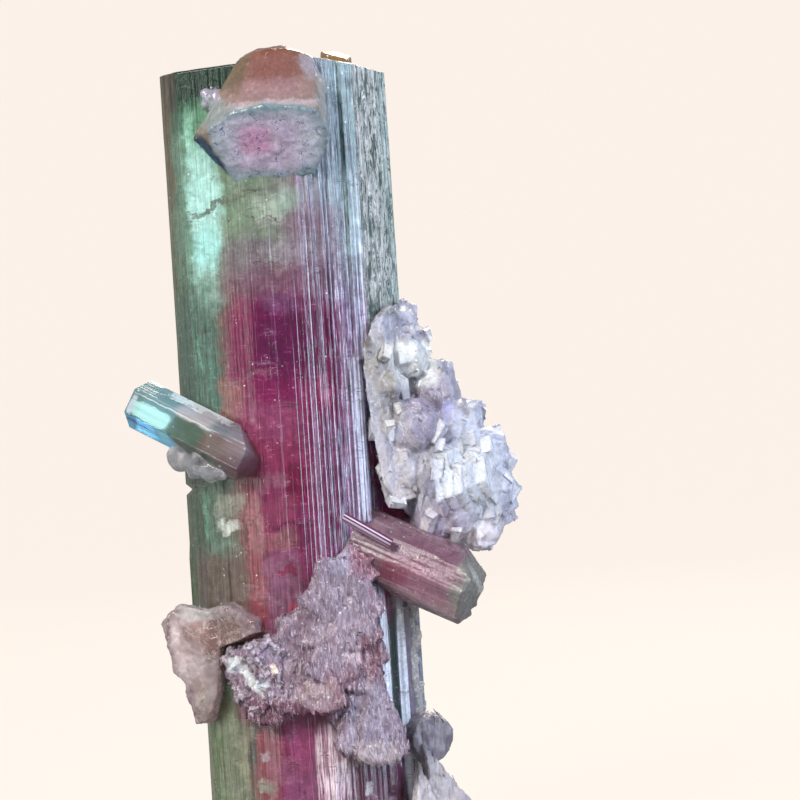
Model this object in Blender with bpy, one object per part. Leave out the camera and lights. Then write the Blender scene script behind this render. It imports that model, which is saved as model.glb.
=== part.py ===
"""A watermelon tourmaline crystal: a tall striated prism that stands on its cut base, with
smaller tourmalines grown through it and mica, albite and quartz grown on its sides.

Lengths are in millimetres until an object is made from them. X runs across the broad
front, -Y is the front, and +Z follows the long axis from the middle of the cut base."""

import math
import random

import bmesh
import bpy
from mathutils import Matrix, Vector

MM = 0.001  # metres in a millimetre
SEED = 7
GAP = 0.35  # clearance between minerals that only touch
CLEAR = 0.95  # what grew on the prism starts this far off its plain section, clear of its ribs
WELD = 0.002  # points closer than this are one

# ---- driving dimensions of the main prism

PRISM_TOP = 97.5  # the prism is drawn this long and then cut back to its top faces
STRIA_PITCH = 0.85  # width of one striation
SECTION = (  # corners x, y, from the left edge round the front; striation height that follows
    (-13.0, -0.6, 0.16),
    (-10.7, -7.6, 0.14),
    (-3.6, -10.6, 0.14),
    (2.0, -11.0, 0.30),
    (9.3, -8.2, 0.22),
    (12.8, -1.4, 0.22),
    (12.0, 4.0, 0.16),
    (6.5, 9.4, 0.26),
    (0.0, 11.2, 0.16),
    (-6.6, 9.8, 0.28),
    (-12.0, 4.2, 0.16),
)
TOP_FACES = (  # a point and the outward normal of each low face of the termination
    ((0.0, 3.0, 95.9), (-0.064, -0.101, 1.0)),
    ((0.0, 3.0, 95.9), (0.188, -0.028, 1.0)),
    ((0.0, 3.0, 95.9), (0.0, 0.16, 1.0)),
)
LATHS = (  # parallel ribs: face, start and end as shares of its width, z of foot and top, how proud
    (3, 0.62, 0.86, 41.7, 60.5, 0.55),
    (3, 0.76, 0.99, 60.0, 94.9, 0.50),
    (3, 0.34, 0.42, 36.5, 83.0, 0.40),
    (3, 0.14, 0.22, 34.0, 94.6, 0.35),
    (3, 0.00, 0.30, 0.0, 19.5, 0.40),
    (3, 0.84, 0.99, 11.0, 33.0, 0.45),
    (4, 0.30, 0.62, 4.0, 31.5, 0.45),
    (7, 0.20, 0.55, 0.0, 71.0, 0.55),
    (8, 0.30, 0.70, 22.0, 93.0, 0.45),
    (9, 0.15, 0.45, 0.0, 58.0, 0.60),
    (9, 0.60, 0.80, 31.0, 92.5, 0.45),
    (10, 0.25, 0.65, 12.0, 84.0, 0.45),
)
LEDGE = {"top": 26.0, "inset": 0.8, "lean": 3.0}  # the left edge stands in below this
NOTCH = {"at": (-13.1, -3.0, 46.5), "size": (1.1, 8.8, 0.66)}  # a crack nicks the left edge
SCAR = {"foot": 38.5, "top": 58.0, "corner": 4, "depth": 1.1}  # the spalled right shoulder
ETCHED_EDGE = {"foot": 12.0, "top": 30.5, "grains": 11, "size": 1.0}  # rough right edge, low down

# ---- the smaller crystals

TOP_CRYSTAL = {
    "axis": (0.06, 0.82, 0.57),
    "centre": (-0.6, -13.4, 84.9),
    "face": (  # the end face, seen square on from the front: x, z
        (-6.6, 86.8), (-4.2, 88.1), (-0.8, 88.6), (2.5, 88.4), (5.2, 87.8),
        (6.2, 86.1), (6.2, 84.2), (4.6, 81.2), (-2.8, 81.4), (-4.6, 80.8),
    ),
    "left_tip": (-9.0, -11.4, 85.9),
    "crown": ((-2.9, 95.8), (-1.2, 96.4), (1.6, 96.6), (3.8, 95.1), (5.0, 91.2), (-4.6, 91.4)),
    "crown_y": -6.0,
    "depth": (0.0, -6.0, 83.0),
}
CHIP = {"foot": (7.4, -3.2, 88.0), "top": (7.6, -3.2, 96.0), "radius": 1.9, "sides": 5}
LEFT_CRYSTAL = {
    "end": (-17.5, -5.0, 56.9), "tip": (-4.5, -11.8, 49.6), "radius": 2.95, "sides": 6,
}
RIGHT_CRYSTAL = {
    "root": (4.5, -5.0, 40.6), "end": (19.3, -10.0, 33.4), "radius": 4.25, "sides": 9,
}
ROD = {"root": (5.0, -11.1, 43.0), "end": (10.3, -11.3, 39.5), "radius": 0.85, "sides": 4}

# ---- the minerals grown on the outside

ROSETTE_LUMPS = (  # x, y, z and radius of each bunch of mica books
    (12.9, -4.6, 64.4, 2.3),
    (13.6, -5.5, 60.2, 3.0),
    (10.9, -8.3, 57.0, 2.3),
    (16.6, -4.5, 56.0, 3.3),
    (13.6, -7.0, 52.0, 4.0),
    (18.6, -4.0, 52.2, 3.6),
    (16.2, -6.5, 46.8, 4.4),
    (21.2, -4.0, 48.6, 3.8),
    (21.9, -4.5, 44.4, 3.7),
    (18.0, -6.0, 42.2, 3.8),
    (20.7, -4.5, 40.2, 3.2),
    (12.6, -7.0, 47.2, 3.2),
    (15.0, 0.5, 47.5, 5.0),
    (14.6, 0.5, 56.5, 3.6),
)
BOOKS_PER_LUMP = 6
ROSETTE_FOOT = (  # the mica crust that the rosette stands on: x, z
    (9.9, 46.0), (9.3, 51.0), (8.7, 56.5), (8.6, 61.5), (9.8, 64.0), (11.6, 65.5), (13.2, 66.8),
    (15.6, 66.0), (15.6, 41.5), (13.0, 41.5), (11.2, 44.0),
)
ROSETTE_FOOT_THICKNESS = 1.3
ROSETTE_PLATES = {  # the upright plates that stand side by side in the middle of the rosette
    "first": (16.9, -8.6, 44.6), "step": (1.25, 0.25, 0.45), "count": 5,
    "radius": 3.5, "thickness": 0.75, "out": (0.93, -0.34, 0.1),
}
APRON_OUTLINE = (  # x, z
    (2.2, 38.0), (8.4, 37.9), (7.2, 35.8), (9.0, 32.0), (9.1, 26.1), (9.7, 21.3), (9.5, 17.2),
    (7.8, 15.0), (5.0, 15.0), (3.7, 18.2), (1.6, 21.3), (-0.6, 21.2), (-4.4, 19.8), (-5.9, 21.8),
    (-6.0, 25.0), (-4.4, 29.0), (-1.5, 30.9), (0.5, 33.8),
)
APRON_THICKNESS = 1.3
APRON_FANS = (  # apex x, apex z, radius, heading in degrees, spread in degrees, lift off the face
    (5.4, 39.6, 5.2, -88, 84, 0.6),
    (3.2, 36.8, 5.6, -104, 80, 0.9),
    (7.0, 36.4, 5.8, -80, 74, 1.0),
    (1.6, 33.8, 5.6, -112, 78, 1.1),
    (4.9, 33.6, 6.0, -90, 74, 1.6),
    (-0.9, 30.6, 5.4, -118, 80, 1.1),
    (7.8, 31.6, 6.2, -84, 62, 1.2),
    (2.4, 30.2, 6.2, -98, 70, 1.9),
    (5.8, 28.6, 5.8, -84, 72, 1.8),
    (-0.6, 27.2, 6.2, -104, 70, 1.7),
    (-3.6, 25.2, 5.4, -112, 66, 0.9),
    (2.0, 27.2, 6.2, -88, 52, 2.4),
    (6.9, 26.4, 11.6, -90, 34, 2.4),
    (4.9, 25.2, 9.4, -94, 38, 1.7),
    (8.6, 24.8, 7.6, -86, 40, 1.5),
)
APRON_FLAKES = 30  # thin books on edge among the fans
FLAKE_RADIUS = 1.7
FAN_THICKNESS = 1.5
FAN_SCALLOPS = 6
FAN_TILT = 8.0  # degrees that each fan leans out at its lower edge
PARTING_X = 10.0  # the apron stays left of this and the books on the right edge stay right of it
RIGHT_BOOK = {"centre": (13.2, -5.9, 16.6), "radius": 2.9, "thickness": 2.6}
RIGHT_FANS = (  # apex x, y, z, radius, heading, spread
    (11.9, -6.9, 16.0, 10.8, -70, 34),
    (11.3, -7.8, 13.6, 8.6, -84, 36),
    (13.0, -5.4, 14.4, 7.6, -70, 28),
)
SPRIG_OUTLINE = (  # x, z
    (-9.0, 26.0), (-8.8, 27.9), (-6.5, 28.8), (-4.2, 29.6), (-2.8, 28.2), (-2.6, 25.6),
    (-3.3, 23.2), (-5.6, 21.4), (-7.6, 22.8),
)
SPRIG_THICKNESS = 1.2
SPRIG_MARGIN = 0.7  # the blades may reach this far past the outline
SPRIG = {"blades": 24, "length": 4.6, "width": 1.25}
PLATE_OUTLINE = (  # the quartz plate, seen from the front: x, z
    (-15.4, 31.7), (-13.2, 33.8), (-10.6, 33.0), (-8.0, 33.5), (-4.7, 31.6), (-4.4, 30.2),
    (-9.0, 28.6), (-9.6, 23.6), (-11.0, 20.4), (-12.3, 20.0), (-13.0, 22.4), (-13.3, 25.0),
    (-14.4, 25.9), (-15.0, 29.0),
)
PLATE_THICKNESS = 2.6
PLATE_SUNK = 0.15  # the share of its thickness that lies inside the face it follows
PLATE_BEVEL = 0.45
BUD_LUMPS = ((-12.9, -7.4, 50.5, 1.9), (-11.1, -8.8, 49.2, 1.9), (-9.3, -9.8, 48.2, 1.5))

FINISHES = {  # base colour and roughness
    "tourmaline": ((0.30, 0.10, 0.16, 1.0), 0.20),
    "mica": ((0.42, 0.34, 0.43, 1.0), 0.42),
    "albite": ((0.72, 0.72, 0.76, 1.0), 0.35),
    "quartz": ((0.50, 0.38, 0.38, 1.0), 0.16),
}


# ---- helpers


def clear_scene():
    for obj in list(bpy.data.objects):
        bpy.data.objects.remove(obj)


def new_collection(name):
    collection = bpy.data.collections.new(name)
    bpy.context.scene.collection.children.link(collection)
    return collection


def finish_material(name):
    material = bpy.data.materials.get(name)
    if material is None:
        color, roughness = FINISHES[name]
        material = bpy.data.materials.new(name)
        material.use_nodes = True
        shader = material.node_tree.nodes["Principled BSDF"]
        shader.inputs["Base Color"].default_value = color
        shader.inputs["Roughness"].default_value = roughness
        shader.inputs["Metallic"].default_value = 0.0
    return material


def body_from(bm, name):
    """An object in metres, in the bench collection, from a bmesh in millimetres."""
    bmesh.ops.scale(bm, vec=(MM, MM, MM), verts=bm.verts)
    bm.normal_update()
    bmesh.ops.recalc_face_normals(bm, faces=bm.faces)
    mesh = bpy.data.meshes.new(name)
    bm.to_mesh(mesh)
    bm.free()
    obj = bpy.data.objects.new(name, mesh)
    bpy.data.collections["bench"].objects.link(obj)
    return obj


def axes_from(out, up):
    """A turn whose Z points out and whose Y leans towards up."""
    z = Vector(out).normalized()
    x = Vector(up).cross(z).normalized()
    return Matrix((x, z.cross(x), z)).transposed().to_4x4()


def slab(name, outline, thickness, placement=Matrix()):
    """A flat outline drawn out along its own +Z and then placed by a matrix."""
    curve = bpy.data.curves.new(name, "CURVE")
    curve.dimensions = "2D"
    curve.fill_mode = "BOTH"
    curve.extrude = thickness / 2
    spline = curve.splines.new("POLY")
    spline.points.add(len(outline) - 1)
    spline.use_cyclic_u = True
    for point, (x, y) in zip(spline.points, outline):
        point.co = (x, y, 0.0, 1.0)
    holder = bpy.data.objects.new(name, curve)
    bpy.context.scene.collection.objects.link(holder)
    graph = bpy.context.evaluated_depsgraph_get()
    bm = bmesh.new()
    bm.from_mesh(holder.evaluated_get(graph).to_mesh())
    bpy.data.objects.remove(holder)
    bmesh.ops.remove_doubles(bm, verts=bm.verts, dist=0.001)
    bmesh.ops.dissolve_limit(bm, angle_limit=0.001, verts=bm.verts, edges=bm.edges)
    bm.transform(placement @ Matrix.Translation((0.0, 0.0, thickness / 2)))
    return bm


def cut_face(bm, point, normal):
    """Cuts away what lies beyond a plane and closes the cut with one flat face."""
    geometry = bm.verts[:] + bm.edges[:] + bm.faces[:]
    cut = bmesh.ops.bisect_plane(
        bm, geom=geometry, dist=0.0001, plane_co=point, plane_no=normal, clear_outer=True)
    rim = [part for part in cut["geom_cut"] if isinstance(part, bmesh.types.BMEdge)]
    bmesh.ops.contextual_create(bm, geom=rim)


def needle(sides, radius, root, end, up, grow=0.0, squash=1.0, twist=0.0):
    """A straight crystal from its root to its flat end."""
    root, end = Vector(root), Vector(end)
    length = (end - root).length
    bm = bmesh.new()
    bmesh.ops.create_cone(
        bm, cap_ends=True, segments=sides, radius1=radius + grow, radius2=radius + grow,
        depth=length + 2 * grow)
    bm.transform(Matrix.Rotation(math.radians(twist), 4, "Z"))
    bmesh.ops.scale(bm, vec=(1.0, squash, 1.0), verts=bm.verts)
    bm.transform(Matrix.Translation((root + end) / 2) @ axes_from(end - root, up))
    return bm


def largest_island(bm):
    """Deletes the loose chips and closed voids that joining leaves."""
    islands, seen = [], set()
    for start in bm.verts:
        if start in seen:
            continue
        stack, island = [start], set()
        while stack:
            vert = stack.pop()
            if vert not in island:
                island.add(vert)
                stack.extend(edge.other_vert(vert) for edge in vert.link_edges)
        seen |= island
        islands.append(island)
    keep = max(islands, key=len)
    bmesh.ops.delete(bm, geom=[v for v in bm.verts if v not in keep], context="VERTS")


def grow_together(name, finish, bodies, cutters=(), inside=None):
    """Joins bodies into one solid, trims it by its neighbours and puts it among the parts."""
    obj = bodies[0]
    group = new_collection(name + " growths")
    for body in bodies[1:]:
        group.objects.link(body)
    if bodies[1:]:
        join = obj.modifiers.new("join", "BOOLEAN")
        join.operation = "UNION"
        join.operand_type = "COLLECTION"
        join.collection = group
        join.solver = "EXACT"
    trims = [("DIFFERENCE", cutter) for cutter in cutters]
    if inside:
        trims.append(("INTERSECT", inside))
    for operation, other in trims:
        trim = obj.modifiers.new("trim", "BOOLEAN")
        trim.operation = operation
        trim.object = other
        trim.solver = "EXACT"
    graph = bpy.context.evaluated_depsgraph_get()
    mesh = bpy.data.meshes.new_from_object(obj.evaluated_get(graph))
    bm = bmesh.new()
    bm.from_mesh(mesh)
    bmesh.ops.remove_doubles(bm, verts=bm.verts, dist=WELD * MM)
    largest_island(bm)
    bmesh.ops.triangulate(bm, faces=bm.faces)
    bm.to_mesh(mesh)
    bm.free()
    for body in bodies:
        bpy.data.objects.remove(body)
    bpy.data.collections.remove(group)
    mesh.name = name
    mesh.materials.clear()
    mesh.materials.append(finish_material(finish))
    part = bpy.data.objects.new(name, mesh)
    bpy.data.collections["watermelon tourmaline"].objects.link(part)
    return part


def as_cutter(bm, name):
    obj = body_from(bm, name)
    bpy.data.collections["bench"].objects.unlink(obj)
    bpy.data.collections["cutters"].objects.link(obj)
    obj.hide_render = True
    obj.display_type = "WIRE"
    return obj


# ---- the main prism


def corner(index, grow=0.0):
    """A corner of the section, moved out from the axis by grow."""
    point = Vector(SECTION[index % len(SECTION)][:2])
    return point + point.normalized() * grow


def striated_section():
    """The section with its striations: ridges of uneven width and height on every face."""
    uneven = random.Random(SEED)
    outline = []
    for face, (_, _, height) in enumerate(SECTION):
        start, end = corner(face), corner(face + 1)
        along = end - start
        out = Vector((along.y, -along.x)).normalized()
        widths = [uneven.uniform(0.6, 1.5) for _ in range(round(along.length / STRIA_PITCH))]
        walked = 0.0
        for width in widths:
            share = width / sum(widths)
            valley = start + along * walked
            crest = start + along * (walked + share * uneven.uniform(0.35, 0.65))
            outline.append(tuple(valley))
            outline.append(tuple(crest + out * height * uneven.uniform(0.4, 1.0)))
            walked += share
    return outline


def main_prism():
    bm = slab("prism", striated_section(), PRISM_TOP)
    for point, normal in TOP_FACES:
        cut_face(bm, point, normal)
    return body_from(bm, "prism")


def lath(face, share_start, share_end, foot, top, proud):
    """A rib that grew side by side with the prism and stands proud of one face."""
    start, end = corner(face), corner(face + 1)
    along = end - start
    out = Vector((along.y, -along.x)).normalized()
    low, high = start + along * share_start, start + along * share_end
    slope = along.normalized() * proud * 0.5
    outline = [low - out, high - out, high + out * 0.1, high - slope + out * proud,
               low + slope + out * proud, low + out * 0.1]
    bm = slab("lath", [tuple(p) for p in outline], top - foot,
              Matrix.Translation((0.0, 0.0, foot)))
    return body_from(bm, "lath")


def front_spot(x):
    """The y of the front faces at x, and their outward direction."""
    for face in range(5):
        start, end = corner(face), corner(face + 1)
        if start.x <= x <= end.x:
            along = end - start
            y = start.y + along.y * (x - start.x) / along.x
            return y, Vector((along.y, -along.x, 0.0)).normalized()
    return 0.0, Vector((0.0, -1.0, 0.0))


def grown_prism(grow):
    """The plain section drawn up past both ends of the prism, larger all round."""
    outline = [tuple(corner(i, grow)) for i in range(len(SECTION))]
    below = Matrix.Translation((0.0, 0.0, -1.0))
    return slab("grown prism", outline, PRISM_TOP + 2.0, below)


# ---- the smaller crystals


def top_crystal():
    """The small crystal across the top: a broad end face that narrows to the crown behind."""
    spec = TOP_CRYSTAL
    axis = Vector(spec["axis"]).normalized()
    centre = Vector(spec["centre"])
    bm = bmesh.new()
    rim = []
    for x, z in spec["face"]:
        y = centre.y - (z - centre.z) * axis.z / axis.y - (x - centre.x) * axis.x / axis.y
        rim.append(bm.verts.new((x, y, z)))
    crown = [bm.verts.new((x, spec["crown_y"], z)) for x, z in spec["crown"]]
    deep = bm.verts.new(spec["depth"])
    tip = bm.verts.new(spec["left_tip"])
    bmesh.ops.convex_hull(bm, input=rim + crown + [deep, tip])
    loose = [vert for vert in bm.verts if not vert.link_faces]
    bmesh.ops.delete(bm, geom=loose, context="VERTS")
    return body_from(bm, "top crystal")


def left_crystal(grow=0.0):
    """The clear crystal across the left front face, with a slanted tip."""
    spec = LEFT_CRYSTAL
    end, tip = Vector(spec["end"]), Vector(spec["tip"])
    axis = (tip - end).normalized()
    bm = needle(spec["sides"], spec["radius"], end, tip, (0.0, -0.5, 1.0), grow, twist=30)
    if not grow:
        cut_face(bm, tip - axis * 0.4, axis + Vector((0.35, -0.1, 0.75)))
    return bm


def right_crystal(grow=0.0):
    """The stubby crystal low on the right, with a worn, bevelled end."""
    spec = RIGHT_CRYSTAL
    root, end = Vector(spec["root"]), Vector(spec["end"])
    axis = (end - root).normalized()
    bm = needle(spec["sides"], spec["radius"], root, end, (0.0, 0.3, 1.0), grow)
    if not grow:
        worn = end + axis * 0.2
        cut_face(bm, worn + Vector((0.0, 0.0, 2.6)), axis + Vector((0.15, 0.0, 0.9)))
        cut_face(bm, worn + Vector((0.0, 0.0, -2.9)), axis + Vector((0.1, 0.1, -0.9)))
        cut_face(bm, worn + Vector((0.0, -3.0, 0.0)), axis + Vector((0.0, -1.0, 0.0)))
    return bm


def rod_crystal(grow=0.0):
    spec = ROD
    return needle(spec["sides"], spec["radius"], spec["root"], spec["end"], (0, 0, 1), grow)


def chip_crystal():
    """A broken side crystal that just stands above the right of the top."""
    spec = CHIP
    bm = needle(spec["sides"], spec["radius"], spec["foot"], spec["top"], (0, 1, 0))
    cut_face(bm, Vector(spec["top"]) - Vector((0.0, 0.0, 0.4)), (0.25, -0.3, 1.0))
    return bm


def etched_grains():
    """Rough grains that the etched right edge ends in."""
    uneven = random.Random(SEED + 2)
    spec = ETCHED_EDGE
    grains = []
    for i in range(spec["grains"]):
        x = uneven.uniform(12.0, 12.7)
        y, out = front_spot(x)
        z = spec["foot"] + (spec["top"] - spec["foot"]) * i / (spec["grains"] - 1)
        centre = Vector((x, y, z)) - out * spec["size"] * 0.45
        grain = lump(centre, spec["size"] * uneven.uniform(0.8, 1.1), uneven)
        grains.append(body_from(grain, "etched grain"))
    return grains


# ---- what was lost from the prism


def ledge_cutter():
    """Takes the left edge in by a step, from the base up."""
    x = SECTION[0][0] + LEDGE["inset"]
    bm = bmesh.new()
    bmesh.ops.create_cube(bm, size=1.0)
    bmesh.ops.scale(bm, vec=(4.0, 30.0, LEDGE["top"] + 2.0), verts=bm.verts)
    lean = Matrix.Rotation(math.radians(LEDGE["lean"]), 4, "Z")
    bm.transform(Matrix.Translation((x - 2.0, 0.0, LEDGE["top"] / 2 - 1.0)) @ lean)
    return as_cutter(bm, "left ledge")


def notch_cutter():
    bm = bmesh.new()
    bmesh.ops.create_cube(bm, size=1.0)
    bmesh.ops.scale(bm, vec=NOTCH["size"], verts=bm.verts)
    turn = Matrix.Rotation(math.radians(-18), 4, "Z") @ Matrix.Rotation(math.radians(45), 4, "Y")
    bm.transform(Matrix.Translation(NOTCH["at"]) @ turn)
    return as_cutter(bm, "notch")


def scar_cutter():
    """Spalls the right shoulder off as one smooth face."""
    point = corner(SCAR["corner"])
    out = point.normalized()
    bm = bmesh.new()
    bmesh.ops.create_cube(bm, size=1.0)
    bmesh.ops.scale(bm, vec=(10.0, 6.0, SCAR["top"] - SCAR["foot"]), verts=bm.verts)
    middle = point + out * (3.0 - SCAR["depth"])
    turn = axes_from((0.0, 0.0, 1.0), (-out.x, -out.y, 0.0))
    height = (SCAR["top"] + SCAR["foot"]) / 2
    bm.transform(Matrix.Translation((middle.x, middle.y, height)) @ turn)
    return as_cutter(bm, "scar")


# ---- the minerals grown on it


def book(centre, out, up, radius, thickness):
    """A stack of mica: a six-sided plate, its edges turned towards out."""
    bm = bmesh.new()
    bmesh.ops.create_cone(
        bm, cap_ends=True, segments=6, radius1=radius, radius2=radius * 0.86, depth=thickness)
    bm.transform(Matrix.Translation(centre) @ axes_from(out, up))
    return bm


def lump(centre, radius, uneven):
    """A rough grain."""
    bm = bmesh.new()
    bmesh.ops.create_icosphere(bm, subdivisions=1, radius=radius)
    for vert in bm.verts:
        vert.co *= uneven.uniform(0.85, 1.15)
    bm.transform(Matrix.Translation(centre))
    return bm


def fan(apex, heading, spread, radius, out):
    """A mica fan: it opens from its apex to a rounded, scalloped edge."""
    outline = [(0.0, 0.0)]
    for i in range(FAN_SCALLOPS + 1):
        share = i / FAN_SCALLOPS
        angle = math.radians(heading + spread * (share - 0.5))
        reach = radius * (0.93 + 0.07 * math.sin(math.pi * share) + 0.03 * (i % 2))
        outline.append((reach * math.cos(angle), reach * math.sin(angle)))
    turn = axes_from(out, (0.0, 0.0, 1.0)) @ Matrix.Rotation(math.radians(-FAN_TILT), 4, "X")
    return slab("fan", outline, FAN_THICKNESS, Matrix.Translation(apex) @ turn)


def through(outline, grow=0.0):
    """An outline seen from the front, drawn right through the front half."""
    centre = sum((Vector(p) for p in outline), Vector((0.0, 0.0))) / len(outline)
    wider = [Vector(p) + (Vector(p) - centre).normalized() * grow for p in outline]
    turn = Matrix.Rotation(math.radians(90), 4, "X")
    return slab("through", [tuple(p) for p in wider], 20.0, turn)


def shared(name, first, second):
    """The body that two bodies have in common."""
    obj, other = body_from(first, name), body_from(second, name)
    meet = obj.modifiers.new("meet", "BOOLEAN")
    meet.operation = "INTERSECT"
    meet.object = other
    meet.solver = "EXACT"
    graph = bpy.context.evaluated_depsgraph_get()
    mesh = bpy.data.meshes.new_from_object(obj.evaluated_get(graph))
    obj.modifiers.clear()
    obj.data = mesh
    bpy.data.objects.remove(other)
    return obj


def crust(name, outline, thickness):
    """A crust of even thickness that follows the prism inside an outline."""
    return shared(name, through(outline), grown_prism(CLEAR + thickness))


def rosette_bodies():
    uneven = random.Random(SEED + 1)
    bodies = [crust("rosette foot", ROSETTE_FOOT, ROSETTE_FOOT_THICKNESS)]
    middle = Vector((13.0, -2.0, 50.0))
    for x, y, z, radius in ROSETTE_LUMPS:
        centre = Vector((x, y, z))
        bodies.append(body_from(lump(centre, radius, uneven), "rosette lump"))
        outward = (centre - middle).normalized()
        for i in range(BOOKS_PER_LUMP):
            angle = math.tau * (i + uneven.random() * 0.6) / BOOKS_PER_LUMP
            side = Vector((math.cos(angle), 0.35 * math.sin(2 * angle) - 0.35, math.sin(angle)))
            way = (side + outward * 0.7).normalized()
            across = way.cross(Vector((uneven.uniform(-1, 1), 1.0, uneven.uniform(-1, 1))))
            plate = book(centre + way * radius * 0.62, across, way,
                         radius * uneven.uniform(0.48, 0.72), uneven.uniform(0.8, 1.5))
            bodies.append(body_from(plate, "rosette book"))
    stack = ROSETTE_PLATES
    for i in range(stack["count"]):
        centre = Vector(stack["first"]) + Vector(stack["step"]) * i
        radius = stack["radius"] * (1.0 - 0.07 * abs(i - 2))
        plate = book(centre, stack["out"], (0.0, 0.2, 1.0), radius, stack["thickness"])
        bodies.append(body_from(plate, "rosette plate"))
    return bodies


def apron_bodies():
    bodies = [crust("apron crust", APRON_OUTLINE, APRON_THICKNESS)]
    for x, z, radius, heading, spread, lift in APRON_FANS:
        y, out = front_spot(x)
        apex = Vector((x, y, z)) + out * (lift - FAN_THICKNESS * 0.6)
        bodies.append(body_from(fan(apex, heading, spread, radius, out), "apron fan"))
    uneven = random.Random(SEED + 5)
    for i in range(APRON_FLAKES):
        x, z, radius, heading, _, lift = APRON_FANS[i % len(APRON_FANS)]
        down = math.radians(heading + uneven.uniform(-22, 22))
        reach = radius * uneven.uniform(0.35, 0.8)
        x, z = x + reach * math.cos(down), z + reach * math.sin(down)
        y, out = front_spot(x)
        centre = Vector((x, y, z)) + out * (lift + 1.1)
        side = Vector((1.0, uneven.uniform(-0.5, 0.5), uneven.uniform(-0.4, 0.4)))
        flake = book(centre, side, (0.0, 0.1, 1.0), FLAKE_RADIUS * uneven.uniform(0.6, 1.0), 0.6)
        bodies.append(body_from(flake, "apron flake"))
    return bodies


def book_bodies():
    bodies = []
    out = Vector((0.45, -0.9, 0.0))
    for x, y, z, radius, heading, spread in RIGHT_FANS:
        bodies.append(body_from(fan((x, y, z), heading, spread, radius, out), "right fan"))
    round_book = bmesh.new()
    bmesh.ops.create_cone(
        round_book, cap_ends=True, segments=12, radius1=RIGHT_BOOK["radius"],
        radius2=RIGHT_BOOK["radius"] * 0.9, depth=RIGHT_BOOK["thickness"])
    round_book.transform(Matrix.Translation(RIGHT_BOOK["centre"]) @ axes_from(out, (0, 0, 1)))
    bodies.append(body_from(round_book, "round book"))
    return bodies


def sprig_bodies():
    """Short white blades that stick out every way from one spot on the front."""
    uneven = random.Random(SEED + 3)
    bodies = [crust("sprig crust", SPRIG_OUTLINE, SPRIG_THICKNESS)]
    xs, zs = [p[0] for p in SPRIG_OUTLINE], [p[1] for p in SPRIG_OUTLINE]
    for _ in range(SPRIG["blades"]):
        x = uneven.uniform(min(xs) + 1.2, max(xs) - 1.2)
        z = uneven.uniform(min(zs) + 1.6, max(zs) - 1.6)
        y, out = front_spot(x)
        lean = Vector((uneven.uniform(-1, 1), 0.0, uneven.uniform(-1, 1)))
        way = (out + lean * 0.9).normalized()
        root = Vector((x, y, z)) - way * 0.4
        end = root + way * SPRIG["length"] * uneven.uniform(0.7, 1.0)
        width = SPRIG["width"] * uneven.uniform(0.7, 1.0)
        blade = needle(4, width, root, end, (0, 0.2, 1), squash=0.55, twist=45)
        bodies.append(body_from(blade, "albite blade"))
    return bodies


def bud_bodies():
    uneven = random.Random(SEED + 4)
    return [body_from(lump((x, y, z), r, uneven), "bud") for x, y, z, r in BUD_LUMPS]


def plate_body():
    """The quartz plate, parallel to the left front face, from the edge inwards."""
    _, out = front_spot(-7.0)
    reach = Vector((-out.y, out.x, 0.0))
    if reach.x < 0:
        reach = -reach
    beside = corner(1)
    start = beside.to_3d() - out * PLATE_THICKNESS * PLATE_SUNK
    outline = [((x - beside.x) / reach.x, z) for x, z in PLATE_OUTLINE]
    bm = slab("plate", outline, PLATE_THICKNESS,
              Matrix.Translation(start) @ axes_from(out, (0.0, 0.0, 1.0)))
    sharp = [edge for edge in bm.edges if edge.calc_face_angle(0.0) > math.radians(60)]
    bmesh.ops.bevel(bm, geom=sharp, offset=PLATE_BEVEL, segments=1, affect="EDGES")
    return body_from(bm, "quartz plate body")


def wall(name, low, high):
    """A box that keeps two neighbours apart."""
    bm = bmesh.new()
    bmesh.ops.create_cube(bm, size=1.0)
    size = Vector(high) - Vector(low)
    bmesh.ops.scale(bm, vec=size, verts=bm.verts)
    bm.transform(Matrix.Translation((Vector(low) + Vector(high)) / 2))
    return as_cutter(bm, name)


def main():
    clear_scene()
    new_collection("watermelon tourmaline")
    new_collection("cutters")
    new_collection("bench")

    crystals = [main_prism(), top_crystal()]
    crystals += [lath(*row) for row in LATHS]
    crystals += [body_from(left_crystal(), "left crystal"),
                 body_from(right_crystal(), "right crystal"),
                 body_from(rod_crystal(), "rod"),
                 body_from(chip_crystal(), "chip")]
    crystals += etched_grains()
    lost = [ledge_cutter(), notch_cutter(), scar_cutter()]
    grow_together("tourmaline", "tourmaline", crystals, lost)

    prism = as_cutter(grown_prism(CLEAR), "grown prism")
    left = as_cutter(left_crystal(GAP), "grown left crystal")
    right = as_cutter(right_crystal(GAP), "grown right crystal")
    rod = as_cutter(rod_crystal(GAP), "grown rod")
    sprig = as_cutter(through(SPRIG_OUTLINE, SPRIG_MARGIN + GAP), "grown sprig outline")
    books = wall("right of the apron", (PARTING_X, -20.0, 0.0), (30.0, 0.0, 33.0))
    apron = wall("left of the books", (-5.0, -20.0, 0.0), (PARTING_X + GAP, 0.0, 40.0))
    sprig_room = as_cutter(through(SPRIG_OUTLINE, SPRIG_MARGIN), "room for the sprig")

    grow_together("lepidolite_rosette", "mica", rosette_bodies(), [prism, right, rod])
    grow_together("lepidolite_apron", "mica", apron_bodies(), [prism, right, rod, sprig, books])
    grow_together("lepidolite_books", "mica", book_bodies(), [prism, right, apron])
    grow_together("albite_sprig", "albite", sprig_bodies(), [prism], sprig_room)
    grow_together("quartz_plate", "quartz", [plate_body()], [prism, sprig])
    grow_together("quartz_bud", "quartz", bud_bodies(), [prism, left])


main()
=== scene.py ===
import math
import random

import bmesh
import bpy
from mathutils import Euler, Matrix, Vector, noise


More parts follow.
